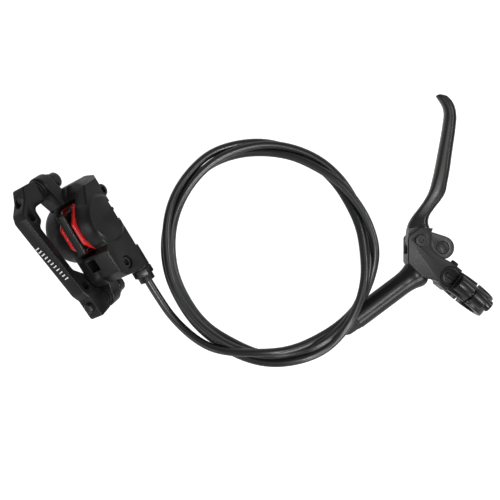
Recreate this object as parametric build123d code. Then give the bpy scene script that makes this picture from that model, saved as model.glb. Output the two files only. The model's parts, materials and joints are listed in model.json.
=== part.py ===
from build123d import *
import math
import os

# Bicycle disc brake for one wheel: hand lever with master cylinder, coiled hose, two-piston
# caliper and the bar that mounts it on a frame. All sizes are millimetres.
# The origin is the centre of the handlebar clamp. The lever swings in the XY plane, +Z is
# the lever's pivot direction, and the brake lies on a surface at Z = SURFACE_Z.

# Clearances between separate pieces
SEAT = 0.05             # seated or pressed pieces, screwed threads
RUNNING = 0.05          # radial play of a shaft in its bush, a piston in its bore
SWING = 0.4             # a swinging piece beside a fixed one
JOINT_GAP = 0.4         # ball of the push rod in the piston cup

# Handlebar clamp
BAR_D = 22.2
CLAMP_WALL = 3.9
CLAMP_WIDTH = 13.6
BAR_ANGLE = 51.5        # direction of the bar in the XY plane
CLAMP_SEAM = 1.4
CLAMP_BOLT_R = 2.0
CLAMP_BOLT_WEB = 2.5    # metal between the bar and each bolt
CLAMP_BOLT_Z = BAR_D / 2 + CLAMP_BOLT_WEB + CLAMP_BOLT_R
CLAMP_LUG_R = 5.0
CLAMP_LUG_CAP = BAR_D / 2 - 2.1     # from the bar's axis to the seat of the bolt head
CLAMP_LUG_BODY = BAR_D / 2 - 0.6
CLAMP_HEAD_R = 3.5
CLAMP_HEAD_H = 4.0
CLAMP_RADIUS = BAR_D / 2 + CLAMP_WALL
ARM_HALF = 7.6          # half the arm's width, across the clamp's bolts
ARM_END = -(BAR_D / 2 + 0.5)        # just clear of the bar
SURFACE_Z = -(CLAMP_BOLT_Z + CLAMP_LUG_R + 0.2)

# Lever and its pivot
PIVOT = (-29.0, 31.2)
DOWEL = (-15.3, 26.9)
CHEEK_IN = 6.6          # half the width between the cheeks
CHEEK_OUT = 9.2
HUB_R = 7.4
LOBE_R = 6.9
BLADE_HALF = 5.0
HUB_HALF = 5.9
PIVOT_R = 3.0
PIVOT_HEAD_R = 3.6
PIVOT_HEAD_H = 2.0
BUSH_WALL = 1.0
BUSH_FLANGE_R = 5.4
BUSH_FLANGE_T = 0.5
DOWEL_R = 3.9
DOWEL_HALF = 5.6
ROD_R = 2.0
BALL_R = 2.4

# Master cylinder: s runs along the barrel from BARREL_REF towards the hose
BARREL_REF = (-42.1, 2.5)
BARREL_DIR = (-0.8, -0.6)
BARREL_R = 6.6
BARREL_MOUTH = -17.0
BARREL_END = 31.0
BORE_R = 4.75
BORE_END = 20.5
CUP_S = -12.0           # centre of the push rod's ball
PISTON_BACK = -13.4
PISTON_FRONT = 1.6
SPIGOT_R = 2.2
SPIGOT_L = 4.0
SEAL_W = 1.6
SEAL_GROOVE_R = 3.3
SPRING_R = 3.4
SPRING_WIRE_R = 0.45
SPRING_TURNS = 6
RING_S = -14.6
RING_T = 0.9
PORT_R = 4.0
OUTLET_R = 1.0

# Reservoir in the arm
WELL_UV = (-14.7, 0.4)  # along and across the arm
WELL_R = 5.7
WELL_FLOOR = 7.0
CHAMBER_R = 3.2
CHAMBER_FLOOR = -0.4
CAP_FLANGE_R = 4.8
CAP_T = 2.4
GRIP_BAR = (6.4, 2.0, 1.6)
STOP_U = -16.4          # place of the stop pad along the arm
STOP_R = 2.4

# Hose and its fittings
HOSE_R = 2.5
HOSE_BORE_R = 1.25
HOSE_START = 24.2
OLIVE_R = 3.3
NUT_FLANGE_R = 4.9
NUT_FLANGE = (31.2, 35.0)
BOOT_R = 6.2
BOOT_WALL = 1.1
BOOT_END = 43.0

# Coil of the hose: an elliptical ring, leaning on the barrel
COIL_CENTRE = (-119.2, 24.5)
COIL_OUTER = (67.8, 71.2)
COIL_WIDTH = 12.6
COIL_HEIGHT = 9.2
COIL_TILT = 12.0
COIL_LEAN = -38.0       # direction of the high side
COIL_ROUND = 2.6

# Caliper frame: x from the lower to the upper mounting bolt, y along the wheel axle towards
# the hose, z away from the hub; the origin lies between the two bolt heads
CALIPER_AT = (-231.7, 35.4, -8.7)
CALIPER_X = (-0.490, 0.849, 0.196)
CALIPER_Z = (0.4045, 0.4209, -0.8119)
BOLT_SPACING = 74.2
BOLT_R = 2.95
BOLT_HEAD_R = 5.0
BOLT_HEAD_H = 6.0
BOLT_TIP = -32.5
EAR_Z = (-15.0, -6.5)
EAR_R = 7.6
EAR_HOLE_R = 4.1
WASHER_R = 6.3
WASHER_SPHERE = 10.0
WASHER_DISH = 1.7
WASHER_STACK = 3.4

# Caliper halves
ROTOR_Y = 15.0
CHEEK_GAP = 6.0         # from the rotor's plane to the inside of each half
OUTER_BACK = 2.0        # back of the outer half beside its drum
INNER_BACK = 30.0
# Drums round the pistons: distance from the rotor's plane, centre x and z, radius
OUTER_DRUM = ((17.5, 4.6, -6.3, 19.2), (20.2, 4.8, -7.2, 17.6), (21.8, 5.0, -8.6, 14.4))
INNER_DRUM = ((6.5, 4.0, -6.8, 18.8), (12.5, 4.3, -8.8, 16.8), (16.8, 5.0, -12.0, 12.7))
PISTON_AT = (6.0, -13.0)
PISTON_R = 10.5
PISTON_L = 8.6
PISTON_CUP_R = 8.2
PISTON_CUP_L = 6.2
PISTON_SEAL = (11.5, 2.0)
BORE_REACH = 14.7       # from the rotor's plane to the closed end of each bore
BODY_TOP = 7.0
BODY_END = (-32.0, 31.0)
SLOT_TOP = 0.4
BODY_BOLTS = ((-24.0, -14.0), (18.6, 3.7))
BODY_BOLT_R = 2.5
BODY_HEAD_R = 3.8
BODY_HEAD_H = 4.0
HEAD_SEAT = (25.0, 23.6)    # seats of the two heads along y
POCKET_X = (-20.0, -12.6)
CROWN_BEVEL = ((24.5, 7.0), (31.5, -1.4))
CROWN_DIP = ((21.5, 7.0), (31.8, -3.0))
DIP_X = (-1.0, 11.5)
CROSSOVER_AT = (-22.0, 0.0)
CROSSOVER_R = 0.9
PORT_AT = (24.0, 0.0)
PORT_FACE = -34.0
PORT_BOSS_R = 6.0
HEX_NUT = 4.6
BLEED_AT = (-3.2, 19.2, 7.0)
BLEED_R = 1.5

# Pads
PLATE_T = 1.8
PLATE_SIZE = (29.0, 24.0)
PLATE_BACK = 5.75       # from the rotor's plane
FRICTION_T = 2.75
FRICTION_SIZE = (PLATE_SIZE[0] - 3.4, PLATE_SIZE[1] - 3.5)
SLOT_X = (PISTON_AT[0] - PLATE_SIZE[0] / 2 - 2.0, PISTON_AT[0] + PLATE_SIZE[0] / 2 + 2.5)
PIN_AT = (6.0, 3.7)
PIN_R = 1.25
PIN_HEAD_R = 2.2
PIN_SEAT = 1.0          # y of the pin's head
CLIP_SEAT = 23.5
WINDOW_X = (0.0, 13.0)
TAB_W = 10.0
LEAF_T = 0.3
SPACER_T = 1.6
SPACER_HEAD = (27.0, 5.6)
SPACER_Z = (-28.2, -25.7)

# Mount adapter
ADAPTER_HALF = 4.9
FRAME_HOLES = ((26.5, -36.0), (-24.0, -28.0))
FRAME_HOLE_R = 2.55

# Worked out
BOLT_SEAT = EAR_Z[1] + WASHER_STACK + 2 * SEAT
POST_Z = EAR_Z[0] - WASHER_STACK - 2 * SEAT
CLAMP_U = (math.sin(math.radians(BAR_ANGLE)), -math.cos(math.radians(BAR_ANGLE)), 0)
CLAMP_V = (math.cos(math.radians(BAR_ANGLE)), math.sin(math.radians(BAR_ANGLE)), 0)
CLAMP = Plane(origin=(0, 0, 0), x_dir=CLAMP_U, z_dir=CLAMP_V)
BARREL = Plane(origin=(*BARREL_REF, 0), x_dir=(0, 0, 1), z_dir=(*BARREL_DIR, 0))
CALIPER = Plane(origin=CALIPER_AT, x_dir=CALIPER_X, z_dir=CALIPER_Z)


def arm_point(u, v):
    """A point of the arm from its distance along (u) and across (v) the clamp's axis."""
    return (u * CLAMP_U[0] + v * CLAMP_V[0], u * CLAMP_U[1] + v * CLAMP_V[1])


def barrel_point(s):
    """A point on the barrel's axis."""
    return (BARREL_REF[0] + s * BARREL_DIR[0], BARREL_REF[1] + s * BARREL_DIR[1])


def column(x, y, radius, low, high):
    """An upright cylinder between two heights."""
    return Pos(x, y, (low + high) / 2) * Cylinder(radius, high - low)


def along_x(y, z, radius, start, end):
    """A cylinder along x between two places."""
    return Pos((start + end) / 2, y, z) * Rot(0, 90, 0) * Cylinder(radius, end - start)


def along_y(x, z, radius, start, end):
    """A cylinder along y between two places."""
    return Pos(x, (start + end) / 2, z) * Rot(90, 0, 0) * Cylinder(radius, end - start)


def block(x, y, z):
    """A box between two corners, given as (low, high) along each direction."""
    size = [b - a for a, b in (x, y, z)]
    centre = [(a + b) / 2 for a, b in (x, y, z)]
    return Pos(*centre) * Box(*size)


def slab(face, low, high):
    """A face of the XY plane, extruded between two heights."""
    return Pos(0, 0, low) * extrude(face, high - low)


def across(face, start, end):
    """A face drawn in x and z, extruded along y between two places."""
    return Pos(0, end, 0) * extrude(Plane.XZ * face, end - start)


def rounded(points, radii):
    """A closed face from corner points, each corner with its own fillet radius."""
    return make_face(FilletPolyline(*points, radius=radii, close=True))


def turned(points):
    """A body of revolution about z from (radius, height) corners."""
    return revolve(Plane.XZ * make_face(Polyline(*points, close=True)), Axis.Z)


def ring(outer, inner, low, high):
    """A flat ring about z."""
    return column(0, 0, outer, low, high) - column(0, 0, inner, low - 1, high + 1)


def socket_screw(radius, length, head_r, head_h, key):
    """A socket-head screw: seat of the head at z = 0, head upwards."""
    head = chamfer(column(0, 0, head_r, 0, head_h).edges().group_by(Axis.Z)[-1], head_r * 0.12)
    socket = extrude(RegularPolygon(key, 6, major_radius=False), head_h * 0.6)
    shank = column(0, 0, radius, -length, 0)
    tip = chamfer(shank.edges().group_by(Axis.Z)[0], radius * 0.2)
    return head + tip - Pos(0, 0, head_h * 0.42) * socket


# Handlebar clamp


def clamp_half(side):
    """One half of the clamp ring with its two bolt lugs; side is -1 for the body, 1 for the cap."""
    reach = CLAMP_LUG_CAP if side > 0 else CLAMP_LUG_BODY
    half = ring(CLAMP_RADIUS, BAR_D / 2, -CLAMP_WIDTH / 2, CLAMP_WIDTH / 2)
    half = fillet(half.edges().filter_by(GeomType.CIRCLE).sort_by(SortBy.RADIUS)[-2:], 1.2)
    for lug_side in (-1, 1):
        lug = along_x(lug_side * CLAMP_BOLT_Z, 0, CLAMP_LUG_R, -reach, reach)
        half += fillet(lug.edges().filter_by(GeomType.CIRCLE), 0.8)
    half -= column(0, 0, BAR_D / 2, -CLAMP_WIDTH, CLAMP_WIDTH)
    far = 2 * CLAMP_RADIUS
    keep = block((CLAMP_SEAM / 2, far), (-far, far), (-far, far))
    if side < 0:
        keep = mirror(keep, Plane.YZ)
    half &= keep
    for lug_side in (-1, 1):
        half -= along_x(lug_side * CLAMP_BOLT_Z, 0, CLAMP_BOLT_R + SEAT, -reach + 1.5, far)
    return half


def clamp_bolts():
    """The two bolts, entered from the cap."""
    length = CLAMP_LUG_CAP + CLAMP_LUG_BODY - 2.5
    screw = socket_screw(CLAMP_BOLT_R, length, CLAMP_HEAD_R, CLAMP_HEAD_H, 1.5)
    seat = CLAMP_LUG_CAP + SEAT
    return [Pos(seat, side * CLAMP_BOLT_Z, 0) * Rot(0, 90, 0) * screw for side in (-1, 1)]


# Master cylinder body


def cheek_face():
    """Outline of the cheeks, which are open round the lever's lobe."""
    points = [(-28.5, 39.6), (-36.6, 33.6), (-36.7, 17.8), (-28.4, 9.2), (-19.5, 7.4),
              (-16.0, 3.4), (-6.6, 12.0), (-9.6, 17.6), (-17.0, 21.4), (-22.8, 27.0), (-22.2, 36.0)]
    return rounded(points, [3, 3, 3, 2, 2, 1.2, 1.2, 2, 3, 4, 3])


def arm_face():
    """Outline of the arm between the cheeks and the clamp."""
    corners = [(-24.5, -1.5), (-17.4, -ARM_HALF), (ARM_END, -ARM_HALF), (ARM_END, ARM_HALF),
               (-17.4, ARM_HALF),
               (-24.5, 6.0)]
    return make_face(Polyline(*[arm_point(u, v) for u, v in corners], close=True))


def rod_path():
    """The way of the push rod from the cup to its dowel: start point and direction."""
    cup = barrel_point(CUP_S)
    return cup, math.degrees(math.atan2(DOWEL[1] - cup[1], DOWEL[0] - cup[0]))


def lever_cavity():
    """The space between the cheeks in which the lever, its lobe and the push rod move."""
    inner = CHEEK_IN
    lobe_reach = math.dist(PIVOT, DOWEL) + LOBE_R + SWING
    hub = column(*PIVOT, HUB_R + 1.2, -inner, inner)
    sweep = column(*PIVOT, lobe_reach, -inner, inner)
    sector = [PIVOT] + [
        (PIVOT[0] + 40 * math.cos(math.radians(a)), PIVOT[1] + 40 * math.sin(math.radians(a)))
        for a in (-86, -30, 15, 60)
    ]
    sweep &= slab(make_face(Polyline(*sector, close=True)), -inner, inner)
    cup, angle = rod_path()
    channel = Pos(*cup, 0) * Rot(0, 0, angle - 2.5) * block((4.5, 30), (-4, 3.6), (-4.5, 4.5))
    above = block((-60, -20), (PIVOT[1] - HUB_R - 0.6, 80), (-inner, inner))
    return hub + sweep + channel + above


def cylinder_body():
    """Barrel, cheeks, arm and clamp half, cast as one piece and bored."""
    cheeks = slab(cheek_face(), CHEEK_IN, CHEEK_OUT)
    cheeks = chamfer(cheeks.edges().group_by(Axis.Z)[-1], 0.6)
    cheeks += mirror(cheeks, Plane.XY)
    arm = slab(arm_face(), -CHEEK_OUT, CHEEK_OUT)
    core = slab(cheek_face(), -CHEEK_IN, CHEEK_IN)
    barrel = column(0, 0, BARREL_R, BARREL_MOUTH, BARREL_END)
    barrel = BARREL * fillet(barrel.edges().group_by(Axis.Z)[-1], 0.6)
    body = cheeks + arm + core + barrel - lever_cavity()
    body += CLAMP * clamp_half(-1)
    body -= CLAMP * column(0, 0, BAR_D / 2, -CLAMP_WIDTH, CLAMP_WIDTH)
    body -= column(*PIVOT, PIVOT_R + RUNNING, -CHEEK_OUT - 1, CHEEK_OUT + 1)
    bores = column(0, 0, BORE_R, BARREL_MOUTH - 1, BORE_END)
    bores += column(0, 0, BORE_R + 0.6, RING_S - 0.1, RING_S + RING_T + 0.1)
    bores += column(0, 0, OUTLET_R, BORE_END - 1, BARREL_END)
    bores += column(0, 0, PORT_R, BORE_END + 1.2, BARREL_END + 1)
    body -= BARREL * bores
    well = arm_point(*WELL_UV)
    body -= column(*well, WELL_R, WELL_FLOOR, CHEEK_OUT + 1)
    rim = Cone(WELL_R, WELL_R + 0.7, 0.7, align=(Align.CENTER, Align.CENTER, Align.MIN))
    body -= Pos(*well, CHEEK_OUT - 0.7) * rim
    body -= column(*well, CHAMBER_R, CHAMBER_FLOOR, WELL_FLOOR + 1)
    stop = stop_pad_place()
    body -= stop * column(0, 0, STOP_R + SEAT, 0, 4)
    body -= stop * column(0, 0, 1.5, -2.5, 1)
    return body


def stop_pad_place():
    """Seat of the rubber pad on the arm's upper edge."""
    x, y = arm_point(STOP_U, ARM_HALF)
    return Plane(origin=(x, y, 0), x_dir=(0, 0, 1), z_dir=CLAMP_V).location


def stop_pad():
    """Rubber pad with a stem, pushed into the arm."""
    head = fillet(column(0, 0, STOP_R, SEAT, 2.6).edges().group_by(Axis.Z)[-1], 0.6)
    return stop_pad_place() * (head + column(0, 0, 1.5 - SEAT, -2.3, 0.5))


def pivot_bolt():
    """Pivot bolt, its head on the upper cheek."""
    screw = socket_screw(PIVOT_R, 2 * CHEEK_OUT, PIVOT_HEAD_R, PIVOT_HEAD_H, 1.35)
    return Pos(*PIVOT, CHEEK_OUT + SEAT) * screw


def reservoir_parts():
    """Cap with a grip bar, and the rubber diaphragm below it."""
    well = arm_point(*WELL_UV)
    place = Pos(*well, 0) * Rot(0, 0, BAR_ANGLE - 90)
    top = WELL_FLOOR + 0.9
    cap = column(0, 0, CHAMBER_R - SEAT, top - CAP_T, top)
    cap += column(0, 0, CAP_FLANGE_R, WELL_FLOOR + SEAT, top)
    length, width, height = GRIP_BAR
    bar = Pos(0, 0, top + height / 2) * Box(length, width, height)
    cap += fillet(bar.edges().filter_by(Axis.Z), 0.8)
    low = top - CAP_T
    cup_r = CHAMBER_R - 0.8
    diaphragm = ring(CHAMBER_R - SEAT, cup_r - 0.6, low - 1.0, low - SEAT)
    diaphragm += ring(cup_r, cup_r - 0.6, low - 3.4, low - 0.8)
    diaphragm += column(0, 0, cup_r, low - 4.0, low - 3.2)
    return place * cap, place * diaphragm


# Lever


def blade_face():
    """Side outline of the finger blade, down to the hub."""
    front = Spline((-16.0, 119.9), (-8.0, 111.2), (-6.4, 103.0), (-8.8, 87.0), (-12.3, 64.3),
                   (-19.7, 49.9), (-23.0, 43.6), (-21.0, 38.4))
    back = Spline((-35.0, 41.7), (-30.6, 46.6), (-22.1, 61.3), (-16.6, 85.7), (-13.2, 103.0),
                  (-15.2, 111.6), (-18.8, 118.6), tangents=[(0.5, 0.8), (-0.75, 1.0)])
    tip = Line((-18.8, 118.6), (-16.0, 119.9))
    root = Polyline((-21.0, 38.4), (-24.0, 31.0), (-33.0, 27.5), (-36.2, 31.0), (-35.0, 41.7))
    return make_face(front + back + tip + root)


def lever_blade():
    """The forged lever: blade, hub and the lobe that carries the dowel."""
    blade = slab(blade_face(), -BLADE_HALF, BLADE_HALF)
    blade = fillet(blade.edges().filter_by(Axis.Z).filter_by(lambda e: e.center().Y > 110), 1.5)
    rims = blade.edges().filter_by(lambda e: abs(abs(e.center().Z) - BLADE_HALF) < 0.01)
    blade = fillet(rims.filter_by(lambda e: e.center().Y > 45), 1.0)
    hub = column(*PIVOT, HUB_R, -HUB_HALF, HUB_HALF)
    lobe = column(*DOWEL, LOBE_R, -HUB_HALF, HUB_HALF)
    neck = Pos(*PIVOT, 0) * Rot(0, 0, math.degrees(math.atan2(DOWEL[1] - PIVOT[1], DOWEL[0] - PIVOT[0])))
    span = math.dist(PIVOT, DOWEL)
    web = neck * block((0, span), (-5.6, 7.0), (-HUB_HALF, HUB_HALF))
    eye = hub + lobe + web
    eye = chamfer(eye.edges().group_by(Axis.Z)[-1] + eye.edges().group_by(Axis.Z)[0], 0.5)
    lever = blade + eye
    lever -= column(*PIVOT, PIVOT_R + BUSH_WALL, -10, 10)
    lever -= column(*DOWEL, DOWEL_R + RUNNING, -10, 10)
    angle = rod_path()[1]
    slot = Pos(*DOWEL, 0) * Rot(0, 0, angle) * block((-16, 8.5), (-4.4, 4.4), (-2.9, 2.9))
    return lever - slot


def lever_bushings():
    """Two flanged bushes, pressed into the hub from each face."""
    inner = PIVOT_R + RUNNING
    sleeve = ring(PIVOT_R + BUSH_WALL - SEAT, inner, 0.3, HUB_HALF)
    flange = ring(BUSH_FLANGE_R, inner, HUB_HALF + SEAT, HUB_HALF + SEAT + BUSH_FLANGE_T)
    neck = ring(PIVOT_R + BUSH_WALL - SEAT, inner, HUB_HALF - 0.1, HUB_HALF + SEAT + 0.1)
    bush = sleeve + neck + flange
    return [Pos(*PIVOT, 0) * bush, Pos(*PIVOT, 0) * mirror(bush, Plane.XY)]


def push_rod_parts():
    """Push rod with its ball end, and the cross dowel that it is screwed through."""
    cup, angle = rod_path()
    length = math.dist(cup, DOWEL)
    place = Pos(*cup, 0) * Rot(0, 0, angle) * Rot(0, 90, 0)
    rod = Sphere(BALL_R) + column(0, 0, ROD_R, 0, length + DOWEL_R + 1.2)
    dowel = column(0, 0, DOWEL_R, -DOWEL_HALF, DOWEL_HALF)
    dowel = chamfer(dowel.edges().filter_by(GeomType.CIRCLE), 0.4)
    dowel -= Pos(0, 0, DOWEL_HALF) * Rot(0, 0, 38) * Box(3.4, 1.7, 2.0)
    dowel = Pos(*DOWEL, 0) * dowel
    dowel -= place * column(0, 0, ROD_R + SEAT, 0, 2 * length)
    return place * rod, dowel


# Inside the barrel


def master_piston():
    """Piston with a cup for the rod, two seal grooves and a spigot for the spring."""
    body = column(0, 0, BORE_R - RUNNING, PISTON_BACK, PISTON_FRONT)
    body += column(0, 0, SPIGOT_R, PISTON_FRONT - 0.5, PISTON_FRONT + SPIGOT_L)
    for centre in seal_centres():
        body -= ring(BORE_R + 1, SEAL_GROOVE_R, centre - SEAL_W / 2 - 0.1, centre + SEAL_W / 2 + 0.1)
    body -= Pos(0, 0, CUP_S) * Sphere(BALL_R + JOINT_GAP)
    body -= column(0, 0, BALL_R + JOINT_GAP, PISTON_BACK - 1, CUP_S)
    return BARREL * body


def seal_centres():
    """Places of the primary and the secondary seal along the barrel."""
    return (PISTON_FRONT - 2.2, PISTON_BACK + 6.0)


def piston_lip_seal(centre):
    """A lip seal in its groove."""
    seal = ring(BORE_R - RUNNING, SEAL_GROOVE_R + SEAT, centre - SEAL_W / 2, centre + SEAL_W / 2)
    groove = ring(BORE_R - 0.6, SEAL_GROOVE_R + 0.6, centre, centre + SEAL_W)
    return BARREL * (seal - groove)


def return_spring():
    """Coil spring between the piston and the end of the bore."""
    low = PISTON_FRONT + SPRING_WIRE_R + SEAT
    high = BORE_END - SPRING_WIRE_R - SEAT
    path = Helix(pitch=(high - low) / SPRING_TURNS, height=high - low, radius=SPRING_R)
    wire = Plane(path @ 0, z_dir=path % 0) * Circle(SPRING_WIRE_R)
    return BARREL * (Pos(0, 0, low) * sweep(wire, path=path))


def retaining_ring():
    """Open spring ring behind the piston."""
    circlip = ring(BORE_R + 0.5, 3.4, RING_S, RING_S + RING_T)
    return BARREL * (circlip - block((0, 8), (-1.5, 1.5), (RING_S - 1, RING_S + 2)))


# Hose fittings at the lever


def hose_fittings():
    """Olive, barbed insert, compression nut and rubber boot on the barrel's axis."""
    seat = BORE_END + 1.2 + SEAT
    olive = turned([(HOSE_R + SEAT, HOSE_START + 0.4), (OLIVE_R - 0.4, HOSE_START + 0.4),
                    (OLIVE_R, HOSE_START + 1.2), (OLIVE_R, HOSE_START + 2.2),
                    (OLIVE_R - 0.4, HOSE_START + 3.0), (HOSE_R + SEAT, HOSE_START + 3.0)])
    insert = turned([(0.6, seat), (2.4, seat), (2.4, HOSE_START - SEAT),
                     (HOSE_BORE_R - SEAT, HOSE_START - SEAT),
                     (HOSE_BORE_R - SEAT, HOSE_START + 9), (0.6, HOSE_START + 9)])
    nut = ring(PORT_R - SEAT, HOSE_R + SEAT, HOSE_START + 3.1, NUT_FLANGE[0])
    flats = slab(RegularPolygon(NUT_FLANGE_R - 0.5, 6, major_radius=False), *NUT_FLANGE)
    nut += column(0, 0, NUT_FLANGE_R, *NUT_FLANGE) & flats
    nut += column(0, 0, PORT_R - 0.3, NUT_FLANGE[1] - 0.5, NUT_FLANGE[1] + 2)
    nut -= column(0, 0, HOSE_R + SEAT, HOSE_START, BOOT_END)
    start = BARREL_END + SEAT
    boot = turned([(0, start), (BOOT_R, start), (BOOT_R, start + 1.6), (BOOT_R - 0.3, start + 2.0),
                   (BOOT_R - 0.6, BOOT_END - 4), (HOSE_R + 1.2, BOOT_END), (0, BOOT_END)])
    boot -= column(0, 0, BOOT_R - BOOT_WALL, start - 1, NUT_FLANGE[1] + 2.2)
    boot -= column(0, 0, HOSE_R + SEAT, start, BOOT_END + 1)
    return [BARREL * piece for piece in (olive, insert, nut, boot)]


# Hose


def tube_radii(points):
    """As large an arc at each corner as its two runs allow."""
    radii = []
    for before, corner, after in zip(points, points[1:], points[2:]):
        run_in = Vector(*corner) - Vector(*before)
        run_out = Vector(*after) - Vector(*corner)
        half_turn = math.radians(run_in.get_angle(run_out)) / 2
        radii.append(0.45 * min(run_in.length, run_out.length) / math.tan(half_turn))
    return radii


def hose_tube(points, name):
    """A plain tube along straight runs joined by tangent arcs."""
    radii = tube_radii(points)
    path = FilletPolyline(*points, radius=radii)
    start = Plane(path @ 0, z_dir=path % 0)
    tube = sweep(start * Circle(HOSE_R), path=path)
    expected = math.pi * HOSE_R**2 * path.length
    print(name, "radii", [round(r, 1) for r in radii], "volume ratio", round(tube.volume / expected, 4))
    return tube, start


def hose_lead_lever():
    """The stretch from the lever's fitting to the coil; its end holds the insert."""
    points = [(*barrel_point(HOSE_START), 0), (*barrel_point(54.0), 0), (-108.0, -38.0, 0.0),
              (-130.0, -38.6, 1.2)]
    tube, start = hose_tube(points, "hose_lead_lever")
    return tube - start * column(0, 0, HOSE_BORE_R, -1, 9.5)


def hose_lead_caliper():
    """The stretch from the caliper's fitting to the coil."""
    first = CALIPER.from_local_coords(Vector(PORT_FACE + 1.0, *PORT_AT))
    second = CALIPER.from_local_coords(Vector(PORT_FACE - 18.0, *PORT_AT))
    points = [tuple(first), tuple(second), (-177.0, -17.5, -8.4), (-160.0, -30.5, -7.2),
              (-142.0, -38.0, -2.4)]
    return hose_tube(points, "hose_lead_caliper")[0]


def hose_coil():
    """Outer shape of the three turns, leaning with one side on the barrel."""
    lean = math.radians(COIL_LEAN)
    tilt = math.radians(COIL_TILT)
    normal = (-math.sin(tilt) * math.cos(lean), -math.sin(tilt) * math.sin(lean), math.cos(tilt))
    reach = sum(COIL_OUTER) / 2
    height = SURFACE_Z + reach * math.sin(tilt) + COIL_HEIGHT / 2 * math.cos(tilt)
    along = (math.cos(tilt), 0, math.sin(tilt) * math.cos(lean))
    plane = Plane(origin=(*COIL_CENTRE, height), x_dir=along, z_dir=normal)
    outer = Ellipse(*COIL_OUTER)
    inner = Ellipse(*[r - COIL_WIDTH for r in COIL_OUTER])
    coil = Pos(0, 0, -COIL_HEIGHT / 2) * extrude(outer - inner, COIL_HEIGHT)
    return plane * fillet(coil.edges().filter_by(GeomType.ELLIPSE), COIL_ROUND)


# Caliper halves


def bean_face():
    """Outline of the halves as seen along the axle."""
    low, high = BODY_END
    points = [(low, BODY_TOP - 3), (low - 0.6, -9), (low + 1.5, -19), (-25, -24.5), (-11, -24.8),
              (-8, -21.5), (3, -24.5), (17, -19), (26.5, -12.5), (high, -8), (high, BODY_TOP - 3), (24, BODY_TOP),
              (-24, BODY_TOP)]
    return rounded(points, [3, 3, 4, 3, 2.5, 1.5, 6, 6, 3, 3, 3, 5, 5])


def pad_space():
    """Slot for the rotor and pads, and the window over it."""
    gap = (ROTOR_Y - CHEEK_GAP, ROTOR_Y + CHEEK_GAP)
    slot = block(SLOT_X, gap, (-40, SLOT_TOP))
    window = block(WINDOW_X, gap, (SLOT_TOP - 1, BODY_TOP + 2))
    return slot + window


def ear(side):
    """One mounting ear with its slotted hole and the arm that carries it."""
    x = side * BOLT_SPACING / 2
    plan = Circle(EAR_R)
    lug = Pos(x, 0, EAR_Z[0]) * extrude(plan, EAR_Z[1] - EAR_Z[0])
    root = side * 22.0
    arm = make_face(Polyline((x, EAR_R), (x, -EAR_R), (root, -1.0), (root, 13.0), close=True))
    lug += Pos(0, 0, EAR_Z[0]) * extrude(arm, EAR_Z[1] - EAR_Z[0])
    return fillet(lug.edges().group_by(Axis.Z)[0] + lug.edges().group_by(Axis.Z)[-1], 1.0)


def ear_hole(side):
    """Hole of an ear, longer across the bolt line so the caliper can be centred."""
    x = side * BOLT_SPACING / 2
    slot = Pos(x, 0, EAR_Z[0] - 1) * extrude(Rot(0, 0, 90) * SlotCenterToCenter(1.6, 2 * EAR_HOLE_R), 12)
    return slot


def drum(side, stations):
    """Round housing of one piston: straight beside the rotor, then drawn in to its closed end."""
    reach, x, z, radius = stations[0]
    housing = along_y(x, z, radius, *beside_rotor(side, SEAT / 2, reach))
    sections = []
    for reach, x, z, radius in stations:
        sections.append(Pos(0, ROTOR_Y + side * reach, 0) * Rot(90, 0, 0) * Pos(x, z, 0) * Circle(radius))
    housing += loft(sections)
    lid = Pos(0, 0, BODY_TOP - 40) * Box(90, 200, 80)
    return housing & lid


def piston_bore(side):
    """Bore of one piston with the groove of its seal."""
    bore = along_y(*PISTON_AT, PISTON_R + RUNNING, *beside_rotor(side, 0, BORE_REACH))
    far = CHEEK_GAP + 5
    return bore + along_y(*PISTON_AT, PISTON_SEAL[0], *beside_rotor(side, far - PISTON_SEAL[1], far))


def pocket():
    """Lightening pocket beside the slot, open to the hub's side."""
    return block(POCKET_X, (ROTOR_Y - 3.4, ROTOR_Y + 3.4), (-40, -16))


def outer_half():
    """The half that carries the mounting ears."""
    half = across(bean_face(), OUTER_BACK, ROTOR_Y - SEAT / 2)
    half = fillet(half.faces().sort_by(Axis.Y)[0].edges(), 1.2)
    half += drum(-1, OUTER_DRUM)
    for side in (-1, 1):
        x = side * BOLT_SPACING / 2
        half += ear(side)
        half -= ear_hole(side)
        half -= column(x, 0, WASHER_R + SWING, EAR_Z[1], BODY_TOP + 4)
        half -= column(x, 0, WASHER_R + SWING, POST_Z, EAR_Z[0])
    half -= pad_space() + pocket() + piston_bore(-1)
    half -= block((-40, -7), (-20, ADAPTER_HALF + 1.2), (-40, -21.4))
    half -= along_y(*PIN_AT, PIN_R + SEAT, -20, ROTOR_Y)
    half -= along_y(*PIN_AT, PIN_HEAD_R + SWING, -20, PIN_SEAT)
    for x, z in BODY_BOLTS:
        half -= along_y(x, z, BODY_BOLT_R + SEAT, 3.5, ROTOR_Y + 1)
    half -= along_y(*CROSSOVER_AT, CROSSOVER_R, 6.0, ROTOR_Y + 1)
    return half


def crown_cut(line, span):
    """What a slanting cut takes off the crown over a stretch of x; the line has two (y, z) points."""
    (y0, z0), (y1, z1) = line
    slope = (z1 - z0) / (y1 - y0)
    far = 60.0
    side_view = make_face(Polyline((y0 - 10, z0 - 10 * slope), (far, z0 + (far - y0) * slope), (far, far),
                                   (y0 - 10, far), close=True))
    low, high = span
    return Pos(low, 0, 0) * extrude(Plane.YZ * side_view, high - low)


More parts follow.
